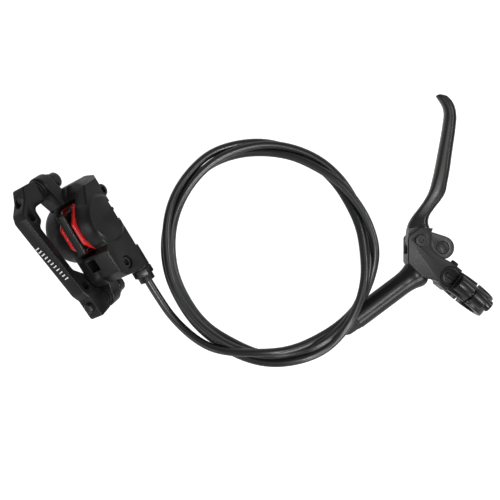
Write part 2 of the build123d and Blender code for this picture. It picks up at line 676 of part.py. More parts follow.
def inner_half():
    """The half with the hose port and the heads of the body bolts."""
    half = across(bean_face(), ROTOR_Y + SEAT / 2, INNER_BACK)
    half = fillet(half.faces().sort_by(Axis.Y)[-1].edges(), 1.2)
    half += drum(1, INNER_DRUM)
    half -= crown_cut(CROWN_BEVEL, (-60, 60)) + crown_cut(CROWN_DIP, DIP_X)
    high = BODY_END[1]
    end_cut = make_face(Polyline((high + 1, ROTOR_Y + 4), (high - 8.5, 40), (high + 20, 40), close=True))
    half -= slab(end_cut, -60, 60)
    port = along_x(*PORT_AT, PORT_BOSS_R, PORT_FACE, -20)
    half += fillet(port.faces().sort_by(Axis.X)[0].edges(), 0.8)
    half -= pad_space() + pocket() + piston_bore(1)
    half -= along_y(*PIN_AT, PIN_R + SEAT, ROTOR_Y, INNER_BACK + 5)
    half -= along_y(*PIN_AT, PIN_HEAD_R + SWING, CLIP_SEAT, INNER_BACK + 5)
    for (x, z), seat in zip(BODY_BOLTS, HEAD_SEAT):
        half -= along_y(x, z, BODY_BOLT_R + SEAT, ROTOR_Y - 1, INNER_BACK + 5)
        half -= along_y(x, z, BODY_HEAD_R + 0.3, seat, INNER_BACK + 5)
    half -= along_y(*CROSSOVER_AT, CROSSOVER_R, ROTOR_Y - 1, PORT_AT[0] + CROSSOVER_R)
    half -= along_y(*CROSSOVER_AT, 2.2, ROTOR_Y - 1, ROTOR_Y + 1.0)
    half -= along_x(*PORT_AT, PORT_R, PORT_FACE - 1, PORT_FACE + 8)
    half -= along_x(*PORT_AT, CROSSOVER_R, PORT_FACE, -8)
    x, y, z = BLEED_AT
    return half - column(x, y, BLEED_R + SEAT, z - 5, z + 3)


def body_bolts():
    """Two bolts that hold the halves together."""
    bolts = []
    for (x, z), seat in zip(BODY_BOLTS, HEAD_SEAT):
        screw = socket_screw(BODY_BOLT_R, seat - 5.0, BODY_HEAD_R, BODY_HEAD_H, 2.0)
        bolts.append(Pos(x, seat + SEAT, z) * Rot(-90, 0, 0) * screw)
    return bolts


def crossover_seal():
    """Rubber ring round the fluid passage at the split."""
    return Pos(CROSSOVER_AT[0], ROTOR_Y + 0.55, CROSSOVER_AT[1]) * Rot(90, 0, 0) * Torus(1.55, 0.4)


# Pistons, seals and pads; side is -1 for the outer and 1 for the inner one


def beside_rotor(side, near, far):
    """Places along y at two distances from the rotor's plane, in rising order."""
    return sorted((ROTOR_Y + side * near, ROTOR_Y + side * far))


def caliper_piston(side):
    """Cup-shaped piston whose open end presses on the pad."""
    front = PLATE_BACK + SEAT
    piston = along_y(*PISTON_AT, PISTON_R, *beside_rotor(side, front, front + PISTON_L))
    cup = along_y(*PISTON_AT, PISTON_CUP_R, *beside_rotor(side, front - 1, front + PISTON_CUP_L))
    return chamfer(piston.edges().filter_by(GeomType.CIRCLE), 0.4) - cup


def caliper_seal(side):
    """Square-section ring in the groove of the bore."""
    near = CHEEK_GAP + 5 - PISTON_SEAL[1] + SEAT
    places = beside_rotor(side, near, near + PISTON_SEAL[1] - 2 * SEAT)
    outside = along_y(*PISTON_AT, PISTON_SEAL[0] - SEAT, *places)
    return outside - along_y(*PISTON_AT, PISTON_R + RUNNING, *beside_rotor(side, 0, 30))


def pad_plate(side):
    """Steel backing plate with its hanging tab."""
    width, height = PLATE_SIZE
    x = PISTON_AT[0]
    low = -1.0 - height
    corners = [(x - width / 2, -1), (x - width / 2, low + 7), (x - width / 2 + 7, low),
               (x + width / 2 - 9, low),
               (x + width / 2, low + 10), (x + width / 2, -1), (x + TAB_W / 2, -1), (x + TAB_W / 2, 6.4),
               (x - TAB_W / 2, 6.4), (x - TAB_W / 2, -1)]
    face = rounded(corners, [2, 2, 3, 3, 2, 2, 0.4, 2.5, 2.5, 0.4])
    plate = across(face, *beside_rotor(side, PLATE_BACK - PLATE_T, PLATE_BACK))
    return plate - along_y(*PIN_AT, PIN_R + 0.25, 0, 40)


def pad_friction(side):
    """Friction block bonded to the plate, with a slot across its middle."""
    width, height = FRICTION_SIZE
    x = PISTON_AT[0]
    top = -3.5
    low = top - height
    outline = [(x - width / 2, top), (x - width / 2, low + 6), (x - width / 2 + 6, low),
               (x + width / 2 - 8, low), (x + width / 2, low + 9), (x + width / 2, top)]
    face = rounded(outline, [2, 1, 3, 3, 1, 2])
    inner = PLATE_BACK - PLATE_T
    pad = across(face, *beside_rotor(side, inner - FRICTION_T, inner - 0.01))
    near = inner - FRICTION_T
    groove = block((x - 0.6, x + 0.6), beside_rotor(side, near - 1, near + 1.2), (-40, 10))
    return pad - groove


def pad_spring():
    """Thin leaf spring: a saddle over the pads with a leg against each plate."""
    x = PISTON_AT[0]
    reach = PLATE_BACK - PLATE_T - SEAT
    leg_x = (x - PLATE_SIZE[0] / 2 + 0.4, x - FRICTION_SIZE[0] / 2 - 0.3)
    spring = None
    for end in (-1, 1):
        span = sorted((x + end * (leg_x[0] - x), x + end * (leg_x[1] - x)))
        for side in (-1, 1):
            leg = block(span, beside_rotor(side, reach - LEAF_T, reach), (-19, -1.2))
            spring = leg if spring is None else spring + leg
        spring += block(span, (ROTOR_Y - reach, ROTOR_Y + reach), (-1.5, -1.2))
    rail = block((leg_x[0], 2 * x - leg_x[0]), (ROTOR_Y - 0.9, ROTOR_Y + 0.9), (-1.5, -1.2))
    return spring + rail


def pad_spacer():
    """Shipping wedge that keeps the pads apart until a rotor takes its place."""
    width, depth = SPACER_HEAD
    low, high = SPACER_Z
    x = PISTON_AT[0]
    head = block((x - width / 2, x + width / 2), (ROTOR_Y - depth / 2, ROTOR_Y + depth / 2), (low, high))
    head = fillet(head.edges().filter_by(Axis.Z), 1.6)
    head = fillet(head.faces().sort_by(Axis.Z)[0].edges(), 1.1)
    reach = width / 2 - 2.0
    thick = (ROTOR_Y - SPACER_T / 2, ROTOR_Y + SPACER_T / 2)
    tongue = block((x - reach, x + reach), thick, (high - 0.5, -8))
    return head + tongue


def pad_pin_parts():
    """Retaining pin through both halves and pads, and the spring clip on its end."""
    start = PIN_SEAT - SEAT
    groove = CLIP_SEAT + 0.6
    pin = along_y(*PIN_AT, PIN_R, start - 0.5, groove + 2.0)
    pin += along_y(*PIN_AT, PIN_HEAD_R, start - 1.4, start)
    pin -= along_y(*PIN_AT, 3, groove, groove + 0.7) - along_y(*PIN_AT, 0.8, groove - 1, groove + 2)
    clip = along_y(*PIN_AT, PIN_HEAD_R, groove + SEAT, groove + 0.7 - SEAT)
    clip -= along_y(*PIN_AT, 0.8 + SEAT, groove - 1, groove + 2)
    x, z = PIN_AT
    clip -= block((x - 0.5, x + 0.5), (groove - 1, groove + 2), (z, z + 4))
    return pin, clip


def hose_nut():
    """Gland nut at the caliper's port."""
    nut = along_x(*PORT_AT, PORT_R - SEAT, PORT_FACE - SEAT - 0.1, PORT_FACE + 6)
    hexagon = Rot(0, -90, 0) * extrude(RegularPolygon(HEX_NUT, 6, major_radius=False), 4.6)
    hexagon = chamfer(hexagon.faces().sort_by(Axis.X)[0].edges(), 0.5)
    nut += Pos(PORT_FACE - SEAT, *PORT_AT) * hexagon
    nut += along_x(*PORT_AT, 3.5, PORT_FACE - 8.2, PORT_FACE - 4)
    return nut - along_x(*PORT_AT, HOSE_R + SEAT, PORT_FACE - 12, PORT_FACE + 12)


def bleed_screw():
    """Small bleed nipple on the crown of the inner half."""
    x, y, z = BLEED_AT
    screw = column(0, 0, BLEED_R, -4.5, 0.8) + column(0, 0, 2.3, SEAT, 1.6) + column(0, 0, 1.3, 1.4, 3.6)
    return Pos(x, y, z) * screw


# Mounting


def washer_pair(seat, direction):
    """Concave and convex washer, stacked from a seat in the direction given by 1 or -1."""
    centre = WASHER_DISH + WASHER_SPHERE - 0.9
    hole = column(0, 0, BOLT_R + 0.4, -1, 9)
    dish = column(0, 0, WASHER_R, 0, WASHER_DISH) - Pos(0, 0, centre) * Sphere(WASHER_SPHERE) - hole
    dome = column(0, 0, WASHER_R - 0.4, 0, WASHER_STACK)
    dome &= Pos(0, 0, centre + SEAT) * Sphere(WASHER_SPHERE)
    dome -= hole
    place = Pos(0, 0, seat + direction * SEAT)
    if direction < 0:
        place = place * Rot(180, 0, 0)
    return place * dish, place * dome


def mounting_parts():
    """Two bolts with their washers above and below the ears."""
    bolts = []
    dishes = []
    domes = []
    screw = socket_screw(BOLT_R, BOLT_SEAT - BOLT_TIP, BOLT_HEAD_R, BOLT_HEAD_H, 2.5)
    for side in (-1, 1):
        spot = Pos(side * BOLT_SPACING / 2, 0, 0)
        bolts.append(spot * Pos(0, 0, BOLT_SEAT) * screw)
        for seat, direction in ((EAR_Z[1], 1), (EAR_Z[0], -1)):
            dish, dome = washer_pair(seat, direction)
            dishes.append(spot * dish)
            domes.append(spot * dome)
    return bolts, dishes, domes


def mount_adapter():
    """The bar that carries the caliper: two posts, two holes for the frame."""
    post = BOLT_SPACING / 2
    (upper_x, upper_z), (lower_x, lower_z) = FRAME_HOLES
    points = [(post + 6.6, POST_Z), (post + 7.0, -29.1), (post + 0.3, upper_z + 2.5),
              (upper_x + 5.3, upper_z - 3.9), (upper_x + 1.0, upper_z - 5.6), (lower_x - 2.4, lower_z - 5.2),
              (lower_x - 7.0, lower_z - 2.6), (-post - 7.9, lower_z - 2.0), (-post - 6.6, POST_Z),
              (-post + 6.6, POST_Z), (-post + 9.1, lower_z + 5.4), (lower_x + 5.0, lower_z + 5.4),
              (lower_x + 12.0, lower_z - 2.0), (upper_x - 7.5, upper_z + 1.6), (upper_x - 4.5, upper_z + 5.8),
              (post - 7.1, upper_z + 5.8), (post - 6.6, POST_Z)]
    face = rounded(points, [1.5, 2, 6, 4, 3, 8, 3, 2, 1.5, 1.5, 1.2, 4, 5, 2.5, 3, 3, 1.5])
    bar = across(face, -ADAPTER_HALF, ADAPTER_HALF)
    bar = chamfer(bar.faces().sort_by(Axis.Y)[0].edges() + bar.faces().sort_by(Axis.Y)[-1].edges(), 0.5)
    for side in (-1, 1):
        bar -= column(side * post, 0, BOLT_R + SEAT, -50, 0)
    for x, z in FRAME_HOLES:
        bar -= along_y(x, z, FRAME_HOLE_R, -10, 10)
    return bar


# Output


def save(name, solids):
    """Write one node: a solid, or a group of separate solids."""
    shapes = solids if isinstance(solids, list) else [solids]
    flat = [solid for shape in shapes for solid in shape.solids()]
    node = flat[0] if len(flat) == 1 else Compound(children=flat)
    export_step(node, f"parts/{name}.step")


def on_caliper(shapes):
    """Move shapes from the caliper's frame to the brake's frame."""
    if isinstance(shapes, list):
        return [CALIPER * shape for shape in shapes]
    return CALIPER * shapes


def main():
    """Build every piece and write it."""
    os.makedirs("parts", exist_ok=True)
    save("master_cylinder_body", cylinder_body())
    save("clamp_cap", CLAMP * clamp_half(1))
    save("clamp_bolts", [CLAMP * bolt for bolt in clamp_bolts()])
    save("lever_stop_pad", stop_pad())
    save("lever_pivot_bolt", pivot_bolt())
    cap, diaphragm = reservoir_parts()
    save("reservoir_cap", cap)
    save("reservoir_diaphragm", diaphragm)
    save("lever_blade", lever_blade())
    save("lever_bushings", lever_bushings())
    rod, dowel = push_rod_parts()
    save("push_rod", rod)
    save("push_rod_dowel", dowel)
    save("master_piston", master_piston())
    primary, secondary = seal_centres()
    save("primary_seal", piston_lip_seal(primary))
    save("secondary_seal", piston_lip_seal(secondary))
    save("return_spring", return_spring())
    save("piston_retaining_ring", retaining_ring())
    fitting_names = ("hose_olive", "hose_insert", "lever_hose_nut", "lever_hose_boot")
    for name, piece in zip(fitting_names, hose_fittings()):
        save(name, piece)
    save("hose_lead_lever", hose_lead_lever())
    save("hose_coil", hose_coil())
    save("hose_lead_caliper", hose_lead_caliper())
    save("caliper_outer_half", on_caliper(outer_half()))
    save("caliper_inner_half", on_caliper(inner_half()))
    save("body_bolts", on_caliper(body_bolts()))
    save("crossover_seal", on_caliper(crossover_seal()))
    for side, word in ((-1, "outer"), (1, "inner")):
        save(f"{word}_piston", on_caliper(caliper_piston(side)))
        save(f"{word}_piston_seal", on_caliper(caliper_seal(side)))
        save(f"{word}_pad_plate", on_caliper(pad_plate(side)))
        save(f"{word}_pad_friction", on_caliper(pad_friction(side)))
    save("pad_spring", on_caliper(pad_spring()))
    save("pad_spacer", on_caliper(pad_spacer()))
    pin, clip = pad_pin_parts()
    save("pad_pin", on_caliper(pin))
    save("pad_pin_clip", on_caliper(clip))
    save("caliper_hose_nut", on_caliper(hose_nut()))
    save("bleed_screw", on_caliper(bleed_screw()))
    bolts, dishes, domes = mounting_parts()
    save("mounting_bolts", on_caliper(bolts))
    save("concave_washers", on_caliper(dishes))
    save("convex_washers", on_caliper(domes))
    save("mount_adapter", on_caliper(mount_adapter()))


main()
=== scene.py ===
"""Dresses a bicycle's hydraulic disc brake for its picture.

The brake lies flat: hand lever on the right, three turns of hose in the middle, caliper and
mount adapter on the left. The classes below make the hose, the rounded castings and screws, the
lever's finger blade and the print on the adapter, and give every piece its finish.
"""

from __future__ import annotations

import json
import logging
import math
from collections.abc import Callable
from dataclasses import dataclass, field
from enum import Enum

import bmesh
import bpy
from mathutils import Matrix, Vector

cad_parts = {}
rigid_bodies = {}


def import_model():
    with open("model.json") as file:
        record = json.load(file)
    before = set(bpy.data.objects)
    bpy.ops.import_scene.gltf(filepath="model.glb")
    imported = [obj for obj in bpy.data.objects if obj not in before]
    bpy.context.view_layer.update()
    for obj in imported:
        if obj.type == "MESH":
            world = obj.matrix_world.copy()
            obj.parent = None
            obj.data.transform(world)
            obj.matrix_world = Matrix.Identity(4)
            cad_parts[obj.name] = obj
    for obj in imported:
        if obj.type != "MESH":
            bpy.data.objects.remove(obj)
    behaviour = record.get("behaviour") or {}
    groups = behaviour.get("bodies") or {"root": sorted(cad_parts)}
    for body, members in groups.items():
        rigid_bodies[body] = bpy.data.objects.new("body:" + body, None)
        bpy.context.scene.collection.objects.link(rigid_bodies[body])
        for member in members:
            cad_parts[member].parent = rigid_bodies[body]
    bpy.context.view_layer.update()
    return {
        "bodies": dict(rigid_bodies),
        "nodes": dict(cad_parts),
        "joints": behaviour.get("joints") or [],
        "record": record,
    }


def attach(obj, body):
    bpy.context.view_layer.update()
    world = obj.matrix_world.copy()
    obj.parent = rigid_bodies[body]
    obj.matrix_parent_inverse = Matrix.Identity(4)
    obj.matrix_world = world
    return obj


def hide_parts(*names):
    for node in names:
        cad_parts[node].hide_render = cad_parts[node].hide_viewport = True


LOG = logging.getLogger("brake")
MM = 0.001
# Height of the surface that the brake lies on
SURFACE_Z = -20.8 * MM
# The point under the camera, and the camera's height over the surface
VIEW_CENTRE = (-0.1305, 0.0255)
VIEW_HEIGHT = 0.6


# Shader groups and finishes


# How many waves the grain's broad noise has in a metre, and the share of each noise in its mask
BROAD_SCALE = 70.0
FINE_SHARE = 0.35
BROAD_SHARE = 0.65
# Values of the mask at which a finish has its lowest and its highest roughness
MASK_LOW = 0.3
MASK_HIGH = 0.7
# Places of the colour sockets on a mix node
MIX_FACTOR = 0
MIX_FIRST = 6
MIX_SECOND = 7
MIX_RESULT = 2


class Grain(Enum):
    """How the surface under the paint was made."""

    CAST = "cast"
    MACHINED = "machined"
    MOULDED = "moulded"

    @property
    def strength(self) -> float:
        """How strongly the grain shows as bump."""
        return 1.0 if self is Grain.CAST else 0.5


def math_node(
    tree: bpy.types.NodeTree,
    operation: str,
    values: tuple[bpy.types.NodeSocket | float, ...],
    clamp: bool = False,
) -> bpy.types.NodeSocket:
    """Add a math node to a shader's tree.

    Args:
        tree: The tree.
        operation: What the node does.
        values: What goes into it, each a number or the output of another node.
        clamp: Whether the result is kept between 0 and 1.

    Returns:
        The node's output.
    """
    node = tree.nodes.new("ShaderNodeMath")
    node.operation = operation
    node.use_clamp = clamp
    for socket, value in zip(node.inputs, values):
        if isinstance(value, bpy.types.NodeSocket):
            tree.links.new(value, socket)
        else:
            socket.default_value = value
    return node.outputs[0]


@dataclass
class ShaderGroups:
    """The effects that several finishes share, each built once as a node group."""

    built: dict[str, bpy.types.NodeTree] = field(default_factory=dict)

    def group(self, name: str, sockets: dict[str, float], outputs: list[str]) -> bpy.types.NodeTree:
        """Start an empty shader group.

        Args:
            name: The group's name.
            sockets: Its number inputs and their starting values.
            outputs: The names of its number outputs.

        Returns:
            The node tree, with its group input and output nodes in place.
        """
        tree = bpy.data.node_groups.new(name, "ShaderNodeTree")
        for label, value in sockets.items():
            socket = tree.interface.new_socket(label, in_out="INPUT", socket_type="NodeSocketFloat")
            socket.default_value = value
        for label in outputs:
            tree.interface.new_socket(label, in_out="OUTPUT", socket_type="NodeSocketFloat")
        tree.nodes.new("NodeGroupInput")
        tree.nodes.new("NodeGroupOutput")
        return tree

    def grain(self) -> bpy.types.NodeTree:
        """Fine grain of paint on metal: a height for bump and a soft mask for gloss.

        Returns:
            A group with input Scale, and outputs Height and Mask.
        """
        if "grain" in self.built:
            return self.built["grain"]
        tree = self.group("surface_grain", {"Scale": 900.0}, ["Height", "Mask"])
        nodes, links = tree.nodes, tree.links
        source = nodes["Group Input"]
        result = nodes["Group Output"]
        place = nodes.new("ShaderNodeTexCoord")
        fine = nodes.new("ShaderNodeTexNoise")
        fine.inputs["Detail"].default_value = 3.0
        fine.inputs["Roughness"].default_value = 0.6
        links.new(place.outputs["Object"], fine.inputs["Vector"])
        links.new(source.outputs["Scale"], fine.inputs["Scale"])
        links.new(fine.outputs["Fac"], result.inputs["Height"])
        broad = nodes.new("ShaderNodeTexNoise")
        broad.inputs["Scale"].default_value = BROAD_SCALE
        broad.inputs["Detail"].default_value = 2.0
        links.new(place.outputs["Object"], broad.inputs["Vector"])
        fine_part = math_node(tree, "MULTIPLY", (fine.outputs["Fac"], FINE_SHARE))
        broad_part = math_node(tree, "MULTIPLY", (broad.outputs["Fac"], BROAD_SHARE))
        mask = math_node(tree, "ADD", (fine_part, broad_part), clamp=True)
        links.new(mask, result.inputs["Mask"])
        self.built["grain"] = tree
        return tree


@dataclass(frozen=True)
class Finish:
    """A finish on metal, plastic or rubber.

    Attributes:
        name: The material's name.
        colour: Base colour.
        second: Base colour where the grain's mask is high.
        metallic: 1 for bare metal.
        rough: Lowest and highest roughness.
        grain_scale: Grains in a metre.
        bump_mm: Height of the grain in millimetres.
        coat: Strength of a clear coat.
        coat_rough: Roughness of the clear coat.
        specular: Strength of the plain reflection.
        grain: How the surface was made.
    """

    name: str
    colour: tuple[float, float, float]
    second: tuple[float, float, float]
    metallic: float = 0.0
    rough: tuple[float, float] = (0.4, 0.5)
    grain_scale: float = 1500.0
    bump_mm: float = 0.01
    coat: float = 0.0
    coat_rough: float = 0.2
    specular: float = 0.5
    grain: Grain = Grain.CAST

    def build(self, groups: ShaderGroups) -> bpy.types.Material:
        """Make the material.

        Args:
            groups: The shared shader groups.

        Returns:
            The material.
        """
        material = bpy.data.materials.new(self.name)
        material.use_nodes = True
        nodes, links = material.node_tree.nodes, material.node_tree.links
        shader = nodes["Principled BSDF"]
        shader.inputs["Metallic"].default_value = self.metallic
        shader.inputs["Coat Weight"].default_value = self.coat
        shader.inputs["Coat Roughness"].default_value = self.coat_rough
        shader.inputs["Specular IOR Level"].default_value = self.specular
        grain = nodes.new("ShaderNodeGroup")
        grain.node_tree = groups.grain()
        grain.inputs["Scale"].default_value = self.grain_scale
        colour = nodes.new("ShaderNodeMix")
        colour.data_type = "RGBA"
        colour.inputs[MIX_FIRST].default_value = (*self.colour, 1.0)
        colour.inputs[MIX_SECOND].default_value = (*self.second, 1.0)
        links.new(grain.outputs["Mask"], colour.inputs[MIX_FACTOR])
        links.new(colour.outputs[MIX_RESULT], shader.inputs["Base Color"])
        rough = nodes.new("ShaderNodeMapRange")
        rough.inputs["From Min"].default_value = MASK_LOW
        rough.inputs["From Max"].default_value = MASK_HIGH
        rough.inputs["To Min"].default_value = self.rough[0]
        rough.inputs["To Max"].default_value = self.rough[1]
        links.new(grain.outputs["Mask"], rough.inputs["Value"])
        links.new(rough.outputs[0], shader.inputs["Roughness"])
        bump = nodes.new("ShaderNodeBump")
        bump.inputs["Strength"].default_value = self.grain.strength
        bump.inputs["Distance"].default_value = self.bump_mm * MM
        links.new(grain.outputs["Height"], bump.inputs["Height"])
        links.new(bump.outputs["Normal"], shader.inputs["Normal"])
        return material


@dataclass
class Finishes:
    """Every finish of the brake, built once."""

    groups: ShaderGroups = field(default_factory=ShaderGroups)
    made: dict[str, bpy.types.Material] = field(default_factory=dict)

    def of(self, finish: Finish) -> bpy.types.Material:
        """The material of a finish, made when first asked for.

        Args:
            finish: The finish.

        Returns:
            Its material.
        """
        if finish.name not in self.made:
            self.made[finish.name] = finish.build(self.groups)
        return self.made[finish.name]


LEVER_PAINT = Finish("lever_paint", (0.013, 0.013, 0.0128), (0.02, 0.02, 0.0195), rough=(0.22, 0.29),
                     bump_mm=0.002, specular=0.7)
BODY_PAINT = Finish("cylinder_paint", (0.007, 0.007, 0.0072), (0.012, 0.012, 0.012), rough=(0.25, 0.33),
                    bump_mm=0.0015, specular=0.37)
CALIPER_PAINT = Finish("caliper_paint", (0.006, 0.006, 0.0062), (0.01, 0.01, 0.01), rough=(0.26, 0.36),
                       bump_mm=0.006, specular=0.33)
ANODISED = Finish("adapter_anodised", (0.005, 0.005, 0.0056), (0.009, 0.009, 0.0098), rough=(0.24, 0.32),
                  grain_scale=2600.0, bump_mm=0.003, specular=0.33, grain=Grain.MACHINED)
BLACK_STEEL = Finish("blackened_steel", (0.02, 0.02, 0.021), (0.035, 0.034, 0.034), metallic=0.45,
                     rough=(0.16, 0.26), bump_mm=0.002, grain=Grain.MACHINED)
BRIGHT_STEEL = Finish("bright_steel", (0.45, 0.45, 0.46), (0.6, 0.6, 0.61), metallic=1.0, rough=(0.2, 0.34),
                      bump_mm=0.003, grain=Grain.MACHINED)
TURNED_ALLOY = Finish("turned_alloy", (0.6, 0.6, 0.62), (0.7, 0.7, 0.72), metallic=1.0, rough=(0.25, 0.38),
                      bump_mm=0.003, grain=Grain.MACHINED)
BRASS = Finish("turned_brass", (0.62, 0.44, 0.17), (0.72, 0.55, 0.25), metallic=1.0, rough=(0.25, 0.36),
               bump_mm=0.003, grain=Grain.MACHINED)
RUBBER = Finish("moulded_rubber", (0.012, 0.012, 0.012), (0.02, 0.02, 0.02), rough=(0.55, 0.7),
                specular=0.35, grain=Grain.MOULDED)
SPACER = Finish("spacer_black", (0.004, 0.004, 0.004), (0.008, 0.008, 0.008), rough=(0.22, 0.3),
                bump_mm=0.002, specular=0.3, grain=Grain.MOULDED)
# The reservoir cap is black, and its colour is made darker still than the other black parts: painted shade of
# the deep recess it sits in
CAP_PAINTED_SHADE = Finish("cap_painted_shade", (0.003, 0.003, 0.003), (0.006, 0.006, 0.006), rough=(0.3, 0.4),
                   bump_mm=0.004, specular=0.2, grain=Grain.MOULDED)
RESIN = Finish("piston_resin", (0.05, 0.045, 0.04), (0.08, 0.07, 0.06), rough=(0.4, 0.5), grain=Grain.MOULDED)
BUSH = Finish("bush_resin", (0.05, 0.05, 0.05), (0.07, 0.07, 0.07), rough=(0.35, 0.45), grain=Grain.MOULDED)
HOSE = Finish("hose_jacket", (0.01, 0.01, 0.0112), (0.014, 0.014, 0.0155), rough=(0.26, 0.33),
              grain_scale=3500.0, bump_mm=0.001, specular=0.75, grain=Grain.MOULDED)
PAD_RED = Finish("pad_enamel", (0.3, 0.002, 0.003), (0.75, 0.02, 0.02), rough=(0.22, 0.34),
                 grain_scale=700.0, bump_mm=0.03, coat=0.5, coat_rough=0.12)
FRICTION = Finish("friction_compound", (0.03, 0.028, 0.026), (0.12, 0.1, 0.085), rough=(0.7, 0.85),
                  grain_scale=1100.0, bump_mm=0.06)
PRINT = Finish("white_print", (0.75, 0.75, 0.75), (0.82, 0.82, 0.82), rough=(0.45, 0.55), grain=Grain.MOULDED)

NODE_FINISHES: dict[str, Finish] = {
    "master_cylinder_body": BODY_PAINT,
    "clamp_cap": BODY_PAINT,
    "clamp_bolts": BLACK_STEEL,
    "lever_stop_pad": RUBBER,
    "lever_pivot_bolt": BLACK_STEEL,
    "reservoir_cap": CAP_PAINTED_SHADE,
    "reservoir_diaphragm": RUBBER,
    "lever_blade": LEVER_PAINT,
    "lever_bushings": BUSH,
    "push_rod": BRIGHT_STEEL,
    "push_rod_dowel": BLACK_STEEL,
    "master_piston": TURNED_ALLOY,
    "primary_seal": RUBBER,
    "secondary_seal": RUBBER,
    "return_spring": BRIGHT_STEEL,
    "piston_retaining_ring": BRIGHT_STEEL,
    "hose_olive": BRASS,
    "hose_insert": BRASS,
    "lever_hose_nut": BLACK_STEEL,
    "lever_hose_boot": RUBBER,
    "hose_lead_lever": HOSE,
    "hose_coil": HOSE,
    "hose_lead_caliper": HOSE,
    "caliper_outer_half": CALIPER_PAINT,
    "caliper_inner_half": CALIPER_PAINT,
    "body_bolts": BLACK_STEEL,
    "crossover_seal": RUBBER,
    "outer_piston": RESIN,
    "inner_piston": RESIN,
    "outer_piston_seal": RUBBER,
    "inner_piston_seal": RUBBER,
    "outer_pad_plate": PAD_RED,
    "inner_pad_plate": PAD_RED,
    "outer_pad_friction": FRICTION,
    "inner_pad_friction": FRICTION,
    "pad_spring": BRIGHT_STEEL,
    "pad_spacer": SPACER,
    "pad_pin": BLACK_STEEL,
    "pad_pin_clip": BRIGHT_STEEL,
    "caliper_hose_nut": BODY_PAINT,
    "bleed_screw": BLACK_STEEL,
    "mounting_bolts": BLACK_STEEL,
    "concave_washers": BLACK_STEEL,
    "convex_washers": BLACK_STEEL,
    "mount_adapter": ANODISED,
}


# Mesh helpers


# Points nearer than this are one, in metres
WELD = 2e-6
# Faces that bend less than this are one, and edges that bend more than that are rounded, in degrees
FLAT_BELOW = 0.6
SHARP_ABOVE = 28.0


def smooth_mesh(name: str, shape: bmesh.types.BMesh) -> bpy.types.Mesh:
    """Turn a finished shape into a smooth mesh, and free the shape.

    Args:
        name: The mesh's name.
        shape: The shape.

    Returns:
        The mesh.
    """
    mesh = bpy.data.meshes.new(name)
    shape.to_mesh(mesh)
    shape.free()
    mesh.shade_smooth()
    return mesh


def band(shape: bmesh.types.BMesh, here: list[bmesh.types.BMVert], beside: list[bmesh.types.BMVert]) -> None:
    """Join two closed rings of points by faces.

    Args:
        shape: The shape that the faces go into.
        here: The first ring.
        beside: The second ring, with as many points.
    """
    for j in range(len(here)):
        k = (j + 1) % len(here)
        shape.faces.new((here[j], beside[j], beside[k], here[k]))


def new_piece(name: str, mesh: bpy.types.Mesh, material: bpy.types.Material, body: str) -> bpy.types.Object:
    """Put a mesh in the scene as a piece that moves with a body.

    Args:
        name: The piece's name.
        mesh: Its mesh, in place.
        material: Its finish.
        body: The body that it rides on.

    Returns:
        The object.
    """
    piece = bpy.data.objects.new(name, mesh)
    bpy.context.scene.collection.objects.link(piece)
    mesh.materials.append(material)
    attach(piece, body)
    LOG.info("piece %s on %s: %d faces", name, body, len(mesh.polygons))
    return piece


def flattened(piece: bpy.types.Object) -> bpy.types.Mesh:
    """The piece's mesh with its modifiers worked in, which are then removed.

    Args:
        piece: An object with modifiers.

    Returns:
        The new plain mesh, already on the object.
    """
    graph = bpy.context.evaluated_depsgraph_get()
    mesh = bpy.data.meshes.new_from_object(piece.evaluated_get(graph), depsgraph=graph)
    piece.modifiers.clear()
    piece.data = mesh
    return mesh


@dataclass
class RoundedCasting:
    """A carried-over node with its sharp edges rounded, as a cast, forged or turned piece has them.

    Attributes:
        node: The node that it stands for.
        body: The body that it rides on.
        finish: Its finish.
        radius: Radius of the edges, in millimetres.
        segments: Faces across an edge.
        below: Only what lies below this y is kept, in millimetres, where another piece has the rest.
        drawn: Where each point of the node goes, if its shape is drawn out.
    """

    node: str
    body: str
    finish: Finish
    radius: float
    segments: int = 3
    below: float | None = None
    drawn: Callable[[Vector], Vector] | None = None

    def build(self, nodes: dict[str, bpy.types.Object], finishes: Finishes) -> None:
        """Make the rounded copy.

        Args:
            nodes: The carried-over nodes.
            finishes: The brake's finishes.
        """
        shape = bmesh.new()
        shape.from_mesh(nodes[self.node].data)
        bmesh.ops.remove_doubles(shape, verts=shape.verts, dist=WELD)
        bmesh.ops.dissolve_degenerate(shape, edges=shape.edges, dist=WELD)
        bmesh.ops.dissolve_limit(
            shape, angle_limit=math.radians(FLAT_BELOW), verts=shape.verts, edges=shape.edges)
        if self.below is not None:
            cut = bmesh.ops.bisect_plane(
                shape, geom=shape.verts[:] + shape.edges[:] + shape.faces[:],
                plane_co=(0, self.below * MM, 0), plane_no=(0, 1, 0), clear_outer=True)
            rim = [e for e in cut["geom_cut"] if isinstance(e, bmesh.types.BMEdge)]
            bmesh.ops.holes_fill(shape, edges=rim, sides=0)
        if self.drawn is not None:
            for vertex in shape.verts:
                vertex.co = self.drawn(vertex.co)
        name = self.node + "_rounded"
        piece = new_piece(name, smooth_mesh(name, shape), finishes.of(self.finish), self.body)
        bevel = piece.modifiers.new("rounding", "BEVEL")
        bevel.width = self.radius * MM
        bevel.segments = self.segments
        bevel.limit_method = "ANGLE"
        bevel.angle_limit = math.radians(SHARP_ABOVE)
        bevel.harden_normals = True
        bevel.use_clamp_overlap = True
        flattened(piece)
        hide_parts(self.node)


